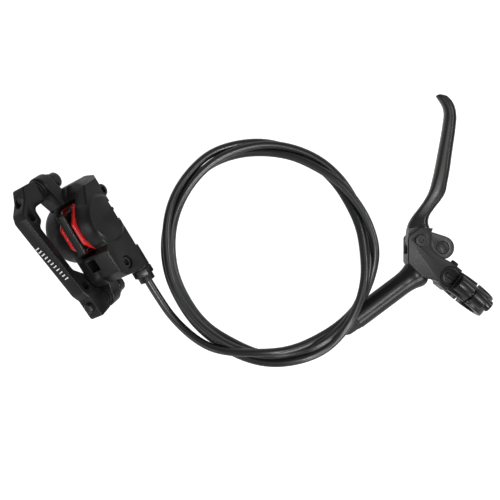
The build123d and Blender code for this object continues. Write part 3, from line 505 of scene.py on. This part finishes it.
def turned_mesh(
    name: str, profile: tuple[tuple[float, float], ...], place: Matrix, steps: int = 72
) -> bpy.types.Mesh:
    """A closed body of revolution.

    Args:
        name: The mesh's name.
        profile: Corners as (radius, height) in millimetres, going round the section.
        place: From the turned body's own frame, in millimetres, to the brake's frame.
        steps: Faces round the axis.

    Returns:
        The mesh, smooth between its edges.
    """
    shape = bmesh.new()
    rows = []
    for i in range(steps):
        angle = math.tau * i / steps
        row = [Vector((r * math.cos(angle), r * math.sin(angle), h)) for r, h in profile]
        rows.append([shape.verts.new(place @ point) for point in row])
    for i in range(steps):
        band(shape, rows[i], rows[(i + 1) % steps])
    bmesh.ops.recalc_face_normals(shape, faces=shape.faces)
    return smooth_mesh(name, shape)


def box_mesh(name: str, size: tuple[float, float, float], place: Matrix, round_mm: float) -> bpy.types.Mesh:
    """A box with rounded edges.

    Args:
        name: The mesh's name.
        size: Its size in millimetres.
        place: From the box's own frame, in millimetres, to the brake's frame.
        round_mm: Radius of its edges.

    Returns:
        The mesh.
    """
    shape = bmesh.new()
    bmesh.ops.create_cube(shape, size=1.0)
    bmesh.ops.scale(shape, vec=Vector(size), verts=shape.verts)
    bmesh.ops.bevel(shape, geom=shape.edges[:], offset=round_mm, segments=3, profile=0.5, affect="EDGES")
    bmesh.ops.transform(shape, matrix=place, verts=shape.verts)
    return smooth_mesh(name, shape)


@dataclass
class FingerBlade:
    """The lever's blade: crowned faces, round edges and a line pressed in beside the front edge.

    Attributes:
        stations: Points of the rear and of the front edge, and half the thickness there, from the
            tip to the hub, in millimetres.
        steps: Sections between two stations.
        rear_profile: Distances from the rear edge in millimetres, and the share of the thickness
            that the blade has there.
        front_profile: The same from the front edge, with the pressed line.
        full_width: Width in millimetres from which the profiles have their full size.
        tip_caps: Sections that round off the tip: their share of the first section's size, and how
            far ahead of it they lie, in millimetres.
    """

    stations: tuple[tuple[float, float, float, float, float], ...] = (
        (-18.2, 118.1, -15.7, 119.3, 2.6),
        (-17.0, 116.4, -11.9, 118.2, 3.4),
        (-15.4, 114.1, -8.9, 115.0, 4.0),
        (-13.9, 110.9, -7.1, 110.9, 4.5),
        (-13.4, 107.1, -6.4, 105.6, 4.8),
        (-14.0, 101.9, -6.7, 101.1, 5.0),
        (-14.9, 95.9, -7.4, 95.1, 5.0),
        (-16.8, 85.4, -8.9, 84.8, 5.0),
        (-18.8, 74.9, -10.4, 74.0, 5.1),
        (-20.3, 68.2, -11.8, 66.2, 4.75),
        (-22.1, 61.7, -13.0, 60.2, 4.05),
        (-24.8, 56.2, -15.5, 55.7, 3.3),
        (-28.4, 51.0, -19.4, 50.7, 2.8),
        (-32.3, 46.0, -22.4, 46.2, 3.1),
        (-34.8, 41.7, -23.3, 42.0, 4.1),
        (-35.6, 38.2, -22.4, 38.2, 4.9),
        (-35.0, 34.5, -21.6, 35.1, 5.0),
    )
    steps: int = 7
    rear_profile: tuple[tuple[float, float], ...] = (
        (0.0, 0.3), (0.12, 0.5), (0.4, 0.69), (0.85, 0.81), (1.5, 0.9), (2.3, 0.962),
    )
    front_profile: tuple[tuple[float, float], ...] = (
        (0.0, 0.36), (0.12, 0.58), (0.35, 0.75), (1.1, 0.84), (1.28, 0.73), (1.6, 0.6),
        (1.85, 0.76), (2.05, 0.93), (2.6, 0.985),
    )
    full_width: float = 6.5
    tip_caps: tuple[tuple[float, float], ...] = ((0.5875, 0.6), (0.8075, 0.25))

    def face_profile(self, width: float) -> list[tuple[float, float]]:
        """Places across the upper face, as distance from the rear edge and share of the thickness.

        Args:
            width: The blade's width there.

        Returns:
            The places, from the rear edge to the front edge.
        """
        near = min(1.0, width / self.full_width)
        rear = [(d * near, share) for d, share in self.rear_profile]
        front = [(width - d * near, share) for d, share in reversed(self.front_profile)]
        return rear + [(width / 2, 1.0)] + front

    @staticmethod
    def between(a: float, b: float, c: float, d: float, u: float) -> float:
        """The value a share u of the way from b to c, on a smooth curve through a, b, c and d."""
        square = 2 * a - 5 * b + 4 * c - d
        cube = 3 * b - a - 3 * c + d
        return 0.5 * (2 * b + (c - a) * u + square * u**2 + cube * u**3)

    def sections(self) -> list[tuple[Vector, Vector, float]]:
        """Rear point, front point and half thickness of every section, along a smooth curve."""
        rows = []
        last = len(self.stations) - 1
        for i in range(last):
            around = [self.stations[max(0, min(last, i + k))] for k in (-1, 0, 1, 2)]
            for j in range(self.steps):
                rows.append([self.between(*values, j / self.steps) for values in zip(*around)])
        rows.append(self.stations[-1])
        return [(Vector((*row[0:2], 0)), Vector((*row[2:4], 0)), row[4]) for row in rows]

    def mesh(self) -> bpy.types.Mesh:
        """Make the blade's mesh.

        Returns:
            The mesh, closed at the tip and in the hub.
        """
        sections = self.sections()
        rear, front, half = sections[0]
        middle = (rear + front) / 2
        # The tip points the way in which its first three sections run
        ahead = ((rear + front) - (sections[3][0] + sections[3][1])).normalized()
        caps = []
        for share, out in self.tip_caps:
            caps.append((middle + (rear - middle) * share + ahead * out,
                         middle + (front - middle) * share + ahead * out, half * share))
        shape = bmesh.new()
        rings = []
        for rear, front, half in caps + sections:
            width = (front - rear).length
            across = (front - rear) / width
            upper = [(rear + across * d, half * share) for d, share in self.face_profile(width)]
            ring = [shape.verts.new(Vector((p.x, p.y, z)) * MM) for p, z in upper]
            ring += [shape.verts.new(Vector((p.x, p.y, -z)) * MM) for p, z in reversed(upper)]
            rings.append(ring)
        for here, beside in zip(rings, rings[1:]):
            band(shape, here, beside)
        shape.faces.new(rings[0])
        shape.faces.new(list(reversed(rings[-1])))
        bmesh.ops.recalc_face_normals(shape, faces=shape.faces)
        return smooth_mesh("lever_finger", shape)


@dataclass
class TickRow:
    """A plain row of short white ticks, printed on the adapter.

    Attributes:
        count: Number of ticks.
        pitch: Distance from one to the next, in millimetres.
        size: Size of a tick: along the row, across it and how far it stands off.
    """

    count: int = 11
    pitch: float = 2.4
    size: tuple[float, float, float] = (0.75, 2.9, 0.08)

    def nodes(self, material: bpy.types.Material) -> bpy.types.NodeTree:
        """Make the Geometry Nodes tree.

        Args:
            material: The print's finish.

        Returns:
            The tree, with inputs Count and Pitch.
        """
        tree = bpy.data.node_groups.new("tick_row", "GeometryNodeTree")
        tree.interface.new_socket("Count", in_out="INPUT", socket_type="NodeSocketInt")
        tree.interface.new_socket("Pitch", in_out="INPUT", socket_type="NodeSocketFloat")
        tree.interface.new_socket("Geometry", in_out="OUTPUT", socket_type="NodeSocketGeometry")
        nodes, links = tree.nodes, tree.links
        source = nodes.new("NodeGroupInput")
        result = nodes.new("NodeGroupOutput")
        step = nodes.new("ShaderNodeCombineXYZ")
        links.new(source.outputs["Pitch"], step.inputs["X"])
        line = nodes.new("GeometryNodeMeshLine")
        links.new(source.outputs["Count"], line.inputs["Count"])
        links.new(step.outputs[0], line.inputs["Offset"])
        tick = nodes.new("GeometryNodeMeshCube")
        tick.inputs["Size"].default_value = [v * MM for v in self.size]
        spread = nodes.new("GeometryNodeInstanceOnPoints")
        links.new(line.outputs["Mesh"], spread.inputs["Points"])
        links.new(tick.outputs["Mesh"], spread.inputs["Instance"])
        real = nodes.new("GeometryNodeRealizeInstances")
        links.new(spread.outputs["Instances"], real.inputs["Geometry"])
        paint = nodes.new("GeometryNodeSetMaterial")
        paint.inputs["Material"].default_value = material
        links.new(real.outputs["Geometry"], paint.inputs["Geometry"])
        links.new(paint.outputs["Geometry"], result.inputs["Geometry"])
        return tree

    def build(self, name: str, place: Matrix, body: str, material: bpy.types.Material) -> None:
        """Print the row.

        Args:
            name: The piece's name.
            place: From the row's own frame, in millimetres, to the brake's frame.
            body: The body that it rides on.
            material: The print's finish.
        """
        piece = bpy.data.objects.new(name, bpy.data.meshes.new(name))
        bpy.context.scene.collection.objects.link(piece)
        modifier = piece.modifiers.new("ticks", "NODES")
        modifier.node_group = self.nodes(material)
        values = {"Count": self.count, "Pitch": self.pitch * MM}
        for item in modifier.node_group.interface.items_tree:
            if item.in_out == "INPUT":
                modifier[item.identifier] = values[item.name]
        mesh = flattened(piece)
        mesh.transform(place @ Matrix.Scale(1 / MM, 4))
        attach(piece, body)


# Hose


@dataclass
class Hose:
    """The hose from the caliper's port over three turns to the lever's fitting.

    The turns are given as they are seen from above, by stations at equal angles.

    Attributes:
        diameter: Outer diameter in metres.
        centre: Middle of the coil, seen at the scale of the surface.
        tilt: Rise of the coil for each metre towards its high side.
        lean: Direction of the high side, in degrees.
        reach: Distance from the middle to the low side.
        first_angle: Direction of the first station, in degrees.
        per_turn: Stations in a turn.
        fineness: Points laid for each station.
        rounds: How often the turns are settled.
        spare: How far apart the middles of touching hose are kept, in diameters.
        easing: Share of an uneven rise that each round takes away.
        straight: How far the points that lead straight out of the nut are from it, in millimetres.
        radii: Distance of each station from the coil's middle, in millimetres.
        levels: How high the hose lies on its neighbours there, in diameters.
        caliper_lead: Points from the nut to the turns, in millimetres.
        lever_lead: Points from the turns to the lever's fitting, in millimetres.
    """

    diameter: float = 5.0 * MM
    centre: tuple[float, float] = (-119.2 * MM, 24.5 * MM)
    tilt: float = 0.2
    lean: float = -38.0
    reach: float = 72.0 * MM
    first_angle: int = -90
    per_turn: int = 12
    fineness: int = 2
    rounds: int = 60
    spare: float = 1.04
    easing: float = 0.12
    straight: tuple[float, ...] = (9.0, 18.0)
    radii: tuple[float, ...] = (
        63.6, 63.0, 66.6, 68.3, 63.6, 60.9, 62.2, 65.2, 66.2, 65.0, 63.6, 65.4,
        70.4, 72.1, 66.3, 60.1, 58.8, 62.2, 68.2, 71.4, 68.3, 63.2, 62.4, 63.4,
        65.6, 67.4, 66.0, 63.5, 63.2, 65.8, 67.2, 66.0, 62.9, 60.4, 59.2, 61.0,
    )
    levels: tuple[float, ...] = (
        1.9, 0.8, 0.0, 0.5, 1.0, 1.0, 0.6, 0.0, 0.0, 0.0, 0.0, 0.0,
        0.4, 0.9, 2.0, 1.1, 0.3, 0.0, 0.0, 0.5, 1.0, 1.0, 0.9, 0.9,
        0.9, 1.0, 1.0, 0.3, 0.0, 0.3, 1.0, 1.0, 0.4, 0.1, 0.0, 0.0,
    )
    caliper_lead: tuple[tuple[float, float, float], ...] = (
        (-177.6, -16.5, -6.6),
        (-162.0, -30.0, -2.0),
        (-147.0, -35.6, 5.0),
    )
    lever_lead: tuple[tuple[float, float, float], ...] = (
        (-123.0, -38.8, 1.4),
        (-104.0, -36.8, 0.2),
        (-85.3, -29.9, 0.0),
    )

    def station(self, index: float) -> Vector:
        """A point of the turns.

        Args:
            index: Number of the station; fractions lie between two.

        Returns:
            The point, in metres.
        """
        low = math.floor(index)
        high = min(low + 1, len(self.radii) - 1)
        part = index - low
        radius = ((1 - part) * self.radii[low] + part * self.radii[high]) * MM
        level = (1 - part) * self.levels[low] + part * self.levels[high]
        angle = math.radians(self.first_angle + 360 / self.per_turn * index)
        rise = self.reach + radius * math.cos(angle - math.radians(self.lean))
        height = SURFACE_Z + self.diameter * (0.5 + level) + self.tilt * rise
        seen = Vector((self.centre[0] + radius * math.cos(angle), self.centre[1] + radius * math.sin(angle)))
        # What lies nearer to the camera looks larger than it is
        middle = Vector(VIEW_CENTRE)
        drawn_in = (VIEW_HEIGHT - (height - SURFACE_Z)) / VIEW_HEIGHT
        place = middle + (seen - middle) * drawn_in
        return Vector((place.x, place.y, height))

    def settled(self, points: list[Vector]) -> list[Vector]:
        """Lift hose that would lie inside the hose under it, and smooth the rise.

        Args:
            points: The turns' points in order.

        Returns:
            The points at their new heights.
        """
        per_turn = self.per_turn * self.fineness
        heights = [p.z for p in points]
        for _ in range(self.rounds):
            for i, point in enumerate(points):
                for j in range(i + per_turn - 1, len(points)):
                    if (j - i) % per_turn not in (0, 1, per_turn - 1):
                        continue
                    aside = (points[j].xy - point.xy).length
                    if aside >= self.diameter:
                        continue
                    need = math.sqrt(self.diameter**2 - aside**2) * self.spare
                    gap = heights[j] - heights[i]
                    if abs(gap) >= need:
                        continue
                    push = (need - abs(gap)) / 2 * (1 if gap >= 0 else -1)
                    heights[j] += push
                    heights[i] -= push
            for i in range(1, len(points) - 1):
                heights[i] += self.easing * ((heights[i - 1] + heights[i + 1]) / 2 - heights[i])
        return [Vector((p.x, p.y, h)) for p, h in zip(points, heights)]

    def route(self, port: Vector, away: Vector, fitting: Vector) -> list[Vector]:
        """Every control point of the hose.

        Args:
            port: Where it leaves the caliper's nut.
            away: The direction in which it leaves.
            fitting: Where it ends in the lever's fitting.

        Returns:
            The points from caliper to lever.
        """
        steps = (len(self.radii) - 1) * self.fineness
        turns = self.settled([self.station(i / self.fineness) for i in range(steps + 1)])
        lead = [port] + [port + away * distance * MM for distance in self.straight]
        lead += [Vector(p) * MM for p in self.caliper_lead]
        tail = [Vector(p) * MM for p in self.lever_lead] + [fitting]
        return lead + turns + tail

    def build(self, port: Vector, away: Vector, fitting: Vector, finishes: Finishes) -> None:
        """Args:
            port: Where it leaves the caliper's nut.
            away: The direction in which it leaves.
            fitting: Where it ends in the lever's fitting.
            finishes: The brake's finishes.
        """
        curve = bpy.data.curves.new("brake_hose", "CURVE")
        curve.dimensions = "3D"
        curve.bevel_depth = self.diameter / 2
        curve.bevel_resolution = 7
        curve.resolution_u = 10
        curve.use_fill_caps = True
        points = self.route(port, away, fitting)
        spline = curve.splines.new("NURBS")
        spline.points.add(len(points) - 1)
        for point, place in zip(spline.points, points):
            point.co = (*place, 1.0)
        spline.order_u = 3
        spline.use_endpoint_u = True
        curve.materials.append(finishes.of(HOSE))
        hose = bpy.data.objects.new("brake_hose", curve)
        bpy.context.scene.collection.objects.link(hose)
        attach(hose, "base")
        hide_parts("hose_coil", "hose_lead_lever", "hose_lead_caliper")


# Caliper


@dataclass
class CaliperPlace:
    """The caliper's own frame: x along the row of mounting bolts, y along the axle, z away from the hub.

    Attributes:
        origin: Its middle in the brake's frame, in millimetres.
        along: Direction of its x.
        away: Direction of its z, before it is made square to x.
    """

    origin: tuple[float, float, float] = (-231.7, 35.4, -8.7)
    along: tuple[float, float, float] = (-0.490, 0.849, 0.196)
    away: tuple[float, float, float] = (0.4045, 0.4209, -0.8119)

    def matrix(self) -> Matrix:
        """From millimetres in the caliper's frame to metres in the brake's frame."""
        x = Vector(self.along).normalized()
        z = Vector(self.away)
        z = (z - x * x.dot(z)).normalized()
        y = z.cross(x)
        turn = Matrix((x, y, z)).transposed().to_4x4()
        return Matrix.Scale(MM, 4) @ Matrix.Translation(Vector(self.origin)) @ turn

    def point(self, x: float, y: float, z: float) -> Vector:
        """A point of the caliper in the brake's frame, in metres."""
        return self.matrix() @ Vector((x, y, z))

    def direction(self, x: float, y: float, z: float) -> Vector:
        """A direction of the caliper in the brake's frame."""
        return (self.matrix().to_3x3() @ Vector((x, y, z))).normalized()


# Studio


SENSOR_WIDTH = 36.0
WHITE = (1.0, 1.0, 1.0, 1.0)


@dataclass(frozen=True)
class Lamp:
    """A soft lamp that faces the brake.

    Attributes:
        name: Its name.
        place: Where it hangs from the point under the camera, in metres.
        size: Its width and depth.
        watts: Its power.
    """

    name: str
    place: tuple[float, float, float]
    size: tuple[float, float]
    watts: float

    def hang(self) -> None:
        """Put the lamp in the scene."""
        data = bpy.data.lights.new(self.name, "AREA")
        data.shape = "RECTANGLE"
        data.size, data.size_y = self.size
        data.energy = self.watts
        lamp = bpy.data.objects.new(self.name, data)
        target = Vector((*VIEW_CENTRE, 0.0))
        lamp.location = target + Vector(self.place)
        lamp.rotation_mode = "QUATERNION"
        lamp.rotation_quaternion = (target - lamp.location).to_track_quat("-Z", "Y")
        bpy.context.scene.collection.objects.link(lamp)


LAMPS = (
    Lamp("key_from_lower_right", (0.5, -0.75, 0.62), (0.8, 0.4), 6.8),
    Lamp("overhead", (0.05, -0.05, 1.3), (1.0, 0.9), 3.4),
    Lamp("edge_from_right", (0.9, 0.3, 0.6), (0.7, 0.14), 3.0),
    Lamp("neck_spot", (0.06, -0.35, 1.15), (0.26, 0.26), 4.0),
    Lamp("edge_from_left", (-0.9, -0.55, 0.42), (0.6, 0.2), 0.9),
)


@dataclass
class Studio:
    """White table, soft lights and the camera straight above.

    Attributes:
        field: Width of the table that the camera sees.
        table_reach: How far the table goes on each side.
        table_drop: How far it lies under the brake's lowest point.
        table_grey: Base colour by which it passes light on.
        wall_light: Brightness of the white walls low round the table.
        room_light: Brightness of the room above them.
        wall_edge: Between these heights of the sky the walls turn into the room.
        table_in_metal: Brightness that the table adds to what shines.
    """

    field: float = 0.3125
    table_reach: float = 6.0
    table_drop: float = 0.0002
    table_grey: float = 0.3
    wall_light: float = 0.5
    room_light: float = 0.14
    wall_edge: tuple[float, float] = (0.22, 0.42)
    table_in_metal: float = 0.3

    def camera(self) -> None:
        """Make the camera and use it."""
        data = bpy.data.cameras.new("camera")
        data.sensor_width = SENSOR_WIDTH
        data.sensor_fit = "HORIZONTAL"
        data.lens = SENSOR_WIDTH * VIEW_HEIGHT / self.field
        data.clip_start = 0.01
        camera = bpy.data.objects.new("camera", data)
        camera.location = (*VIEW_CENTRE, VIEW_HEIGHT + SURFACE_Z)
        bpy.context.scene.collection.objects.link(camera)
        bpy.context.scene.camera = camera

    def table_white(self) -> bpy.types.Material:
        """Make the table's material, which looks white and mirrors dimly in what shines.

        Returns:
            The material.
        """
        material = bpy.data.materials.new("table_white")
        material.use_nodes = True
        tree = material.node_tree
        nodes, links = tree.nodes, tree.links
        shader = nodes["Principled BSDF"]
        shader.inputs["Base Color"].default_value = (self.table_grey, self.table_grey, self.table_grey, 1.0)
        shader.inputs["Roughness"].default_value = 0.8
        shader.inputs["Specular IOR Level"].default_value = 0.1
        glow = nodes.new("ShaderNodeEmission")
        glow.inputs["Color"].default_value = WHITE
        rays = nodes.new("ShaderNodeLightPath").outputs
        seen = math_node(tree, "MAXIMUM", (rays["Is Camera Ray"], rays["Is Transmission Ray"]))
        mirrored = math_node(tree, "MULTIPLY", (rays["Is Glossy Ray"], self.table_in_metal))
        links.new(math_node(tree, "MAXIMUM", (seen, mirrored)), glow.inputs["Strength"])
        both = nodes.new("ShaderNodeAddShader")
        links.new(shader.outputs[0], both.inputs[0])
        links.new(glow.outputs[0], both.inputs[1])
        links.new(both.outputs[0], nodes["Material Output"].inputs["Surface"])
        return material

    def table(self) -> None:
        """Make the table."""
        mesh = bpy.data.meshes.new("table")
        far = self.table_reach
        x, y = VIEW_CENTRE
        z = SURFACE_Z - self.table_drop
        corners = [(x + a * far, y + b * far, z) for a, b in ((-1, -1), (1, -1), (1, 1), (-1, 1))]
        mesh.from_pydata(corners, [], [(0, 1, 2, 3)])
        mesh.materials.append(self.table_white())
        table = bpy.data.objects.new("table", mesh)
        bpy.context.scene.collection.objects.link(table)

    def world(self) -> None:
        """Make the world: white for the camera, and for all else white walls below a dim room."""
        world = bpy.data.worlds.new("studio")
        world.use_nodes = True
        bpy.context.scene.world = world
        nodes, links = world.node_tree.nodes, world.node_tree.links
        back = nodes["Background"]
        rays = nodes.new("ShaderNodeLightPath")
        level = nodes.new("ShaderNodeMapRange")
        level.inputs["To Max"].default_value = 1.0
        links.new(rays.outputs["Is Camera Ray"], level.inputs["Value"])
        place = nodes.new("ShaderNodeTexCoord")
        parts = nodes.new("ShaderNodeSeparateXYZ")
        links.new(place.outputs["Generated"], parts.inputs[0])
        wall = nodes.new("ShaderNodeMapRange")
        wall.interpolation_type = "SMOOTHSTEP"
        wall.inputs["From Min"].default_value = self.wall_edge[0]
        wall.inputs["From Max"].default_value = self.wall_edge[1]
        wall.inputs["To Min"].default_value = self.wall_light
        wall.inputs["To Max"].default_value = self.room_light
        links.new(parts.outputs["Z"], wall.inputs["Value"])
        links.new(wall.outputs[0], level.inputs["To Min"])
        links.new(level.outputs[0], back.inputs["Strength"])
        back.inputs["Color"].default_value = WHITE

    def build(self) -> None:
        """Set the table, the lamps and the world."""
        bpy.context.scene.view_settings.view_transform = "Standard"
        self.table()
        for lamp in LAMPS:
            lamp.hang()
        self.world()


# The whole brake, in millimetres


# Where the hose leaves the caliper, in the caliper's frame, and where it ends at the lever
HOSE_PORT = (-33.0, 24.0, 0.0)
HOSE_END = (-61.46, -12.02, 0.0)
# The barrel in the lever's plane: a point of its axis, and its direction away from the lever
BARREL_REF = (-42.1, 2.5)
BARREL_DIR = (-0.8, -0.6)
# Section of the swelling round the barrel, as (radius, height along the barrel)
FLARE_PROFILE = (
    (6.3, -1.0), (6.58, -2.0), (6.62, -4.0), (6.72, -6.0), (6.9, -7.6), (7.15, -9.0), (7.5, -10.4),
    (7.95, -11.7), (8.35, -13.0), (8.55, -14.2), (8.5, -15.4), (8.2, -16.5), (7.6, -17.6), (6.8, -18.6),
    (6.0, -19.3), (5.4, -19.5), (5.4, -4.0),
)
# The bar across the dowel: its middle, size, angle in degrees and radius of its edges
KEY_MIDDLE = (-15.3, 26.9, 5.95)
KEY_SIZE = (5.2, 3.6, 0.9)
KEY_ANGLE = -52.0
KEY_ROUNDING = 0.25
# The adapter's hub-side face in the caliper's frame: its height at x = 0 and its slope
ADAPTER_EDGE = (-37.31, -0.1558)
# First and last point of the row of ticks on that face, as x and y in the caliper's frame
TICKS_FROM = (9.0, -2.4)
TICKS_TO = (-16.0, 1.6)
# The caliper's hose nut: centre of its seat, reach of its hole, and how much fuller it is drawn
NUT_SEAT = (-34.0, 24.0, 0.0)
NUT_HOLE_R = 3.0
NUT_GROWTH = 1.2
NUT_LEAST_R = 4.9
# The hub side of the pads' plates, in the caliper's frame, and how far it is drawn out
PLATE_DRAWN_FROM = -12.0
PLATE_DRAWN_BY = 2.2
# Above this y the finger blade stands for the lever's casting
BLADE_FROM_Y = 38.6
# Radius of the edges of the nodes that are rounded
ROUNDING = {
    "master_cylinder_body": 0.8,
    "clamp_cap": 0.45,
    "lever_blade": 0.6,
    "reservoir_cap": 0.25,
    "caliper_outer_half": 0.5,
    "caliper_inner_half": 0.5,
    "mount_adapter": 0.3,
    "clamp_bolts": 0.25,
    "body_bolts": 0.25,
    "mounting_bolts": 0.3,
    "lever_pivot_bolt": 0.25,
    "outer_pad_plate": 0.4,
    "inner_pad_plate": 0.4,
    "bleed_screw": 0.15,
    "pad_spacer": 0.5,
    "caliper_hose_nut": 0.6,
}


def lever_frame(origin: tuple[float, float], direction: tuple[float, float]) -> Matrix:
    """A frame with its height along a direction of the lever's plane, from millimetres to metres."""
    height = Vector((*direction, 0.0)).normalized()
    x = Vector((0.0, 0.0, 1.0))
    y = height.cross(x)
    turn = Matrix((x, y, height)).transposed().to_4x4()
    return Matrix.Scale(MM, 4) @ Matrix.Translation((*origin, 0.0)) @ turn


@dataclass
class Brake:
    """The dressed brake.

    Attributes:
        finishes: The brake's finishes.
        caliper: The caliper's own frame.
    """

    frame: dict
    finishes: Finishes = field(default_factory=Finishes)
    caliper: CaliperPlace = field(default_factory=CaliperPlace)

    def hose(self) -> None:
        """Lay the hose from the caliper's nut to the lever's fitting."""
        port = self.caliper.point(*HOSE_PORT)
        away = self.caliper.direction(-1.0, 0.0, 0.0)
        Hose().build(port, away, Vector(HOSE_END) * MM, self.finishes)

    def paint_nodes(self) -> None:
        """Give every carried-over node its finish."""
        for name, finish in NODE_FINISHES.items():
            mesh = self.frame["nodes"][name].data
            mesh.materials.clear()
            mesh.materials.append(self.finishes.of(finish))

    def castings(self) -> None:
        """Round the edges of the castings, the lever, the pads and the screws."""
        bodies = self.frame["record"]["behaviour"]["bodies"]
        body_of = {member: body for body, members in bodies.items() for member in members}
        drawn = {
            "outer_pad_plate": self.deeper_plate,
            "inner_pad_plate": self.deeper_plate,
            "caliper_hose_nut": self.fuller_nut,
        }
        for node, radius in ROUNDING.items():
            below = BLADE_FROM_Y if node == "lever_blade" else None
            casting = RoundedCasting(
                node, body_of[node], NODE_FINISHES[node], radius, below=below, drawn=drawn.get(node))
            casting.build(self.frame["nodes"], self.finishes)

    def deeper_plate(self, point: Vector) -> Vector:
        """Draw the hub side of a pad's plate out past its housing.

        Args:
            point: A point of the plate, in metres.

        Returns:
            Where it goes.
        """
        here = self.caliper.matrix().inverted() @ point
        if here.z < PLATE_DRAWN_FROM:
            here.z -= PLATE_DRAWN_BY
        return self.caliper.matrix() @ here

    def fuller_nut(self, point: Vector) -> Vector:
        """Draw out the part of the caliper's hose nut that stands outside the port.

        Args:
            point: A point of the nut, in metres.

        Returns:
            Where it goes.
        """
        here = self.caliper.matrix().inverted() @ point
        from_seat = here - Vector(NUT_SEAT)
        reach = math.hypot(from_seat.y, from_seat.z)
        if from_seat.x < 0 and reach > NUT_HOLE_R:
            growth = max(NUT_GROWTH, NUT_LEAST_R / reach)
            here = Vector(NUT_SEAT) + Vector((from_seat.x, from_seat.y * growth, from_seat.z * growth))
        return self.caliper.matrix() @ here

    def barrel_flare(self) -> None:
        """The smooth swelling of the casting where the barrel runs into the cheeks."""
        mesh = turned_mesh("barrel_flare", FLARE_PROFILE, lever_frame(BARREL_REF, BARREL_DIR))
        new_piece("barrel_flare", mesh, self.finishes.of(BODY_PAINT), "base")

    def blade(self) -> None:
        """The blade, from the tip into the lever's hub."""
        new_piece("lever_finger", FingerBlade().mesh(), self.finishes.of(LEVER_PAINT), "lever")

    def dowel_key(self) -> None:
        """The flat bar across the top of the dowel, by which it is turned."""
        turn = Matrix.Rotation(math.radians(KEY_ANGLE), 4, "Z")
        place = Matrix.Scale(MM, 4) @ Matrix.Translation(KEY_MIDDLE) @ turn
        mesh = box_mesh("dowel_key", KEY_SIZE, place, KEY_ROUNDING)
        new_piece("dowel_key", mesh, self.finishes.of(BLACK_STEEL), "push_rod")

    def print_ticks(self) -> None:
        """The row of ticks on the adapter's hub side."""
        height, slope = ADAPTER_EDGE
        start, end = (Vector((x, y, height + x * slope)) for x, y in (TICKS_FROM, TICKS_TO))
        along = (end - start).normalized()
        normal = Vector((-slope, 0.0, 1.0)).normalized() * -1
        across = normal.cross(along)
        turn = Matrix((along, across, normal)).transposed().to_4x4()
        place = self.caliper.matrix() @ Matrix.Translation(start) @ turn
        TickRow().build("adapter_ticks", place, "base", self.finishes.of(PRINT))

    def build(self) -> None:
        """Make every piece in order."""
        self.hose()
        self.paint_nodes()
        self.castings()
        self.barrel_flare()
        self.blade()
        self.dowel_key()
        self.print_ticks()


def main() -> None:
    """Load the frame, dress the brake and set the studio."""
    logging.basicConfig(level=logging.INFO, format="%(message)s")
    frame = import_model()
    studio = Studio()
    studio.camera()
    Brake(frame).build()
    studio.build()


if __name__ == "__main__":
    main()
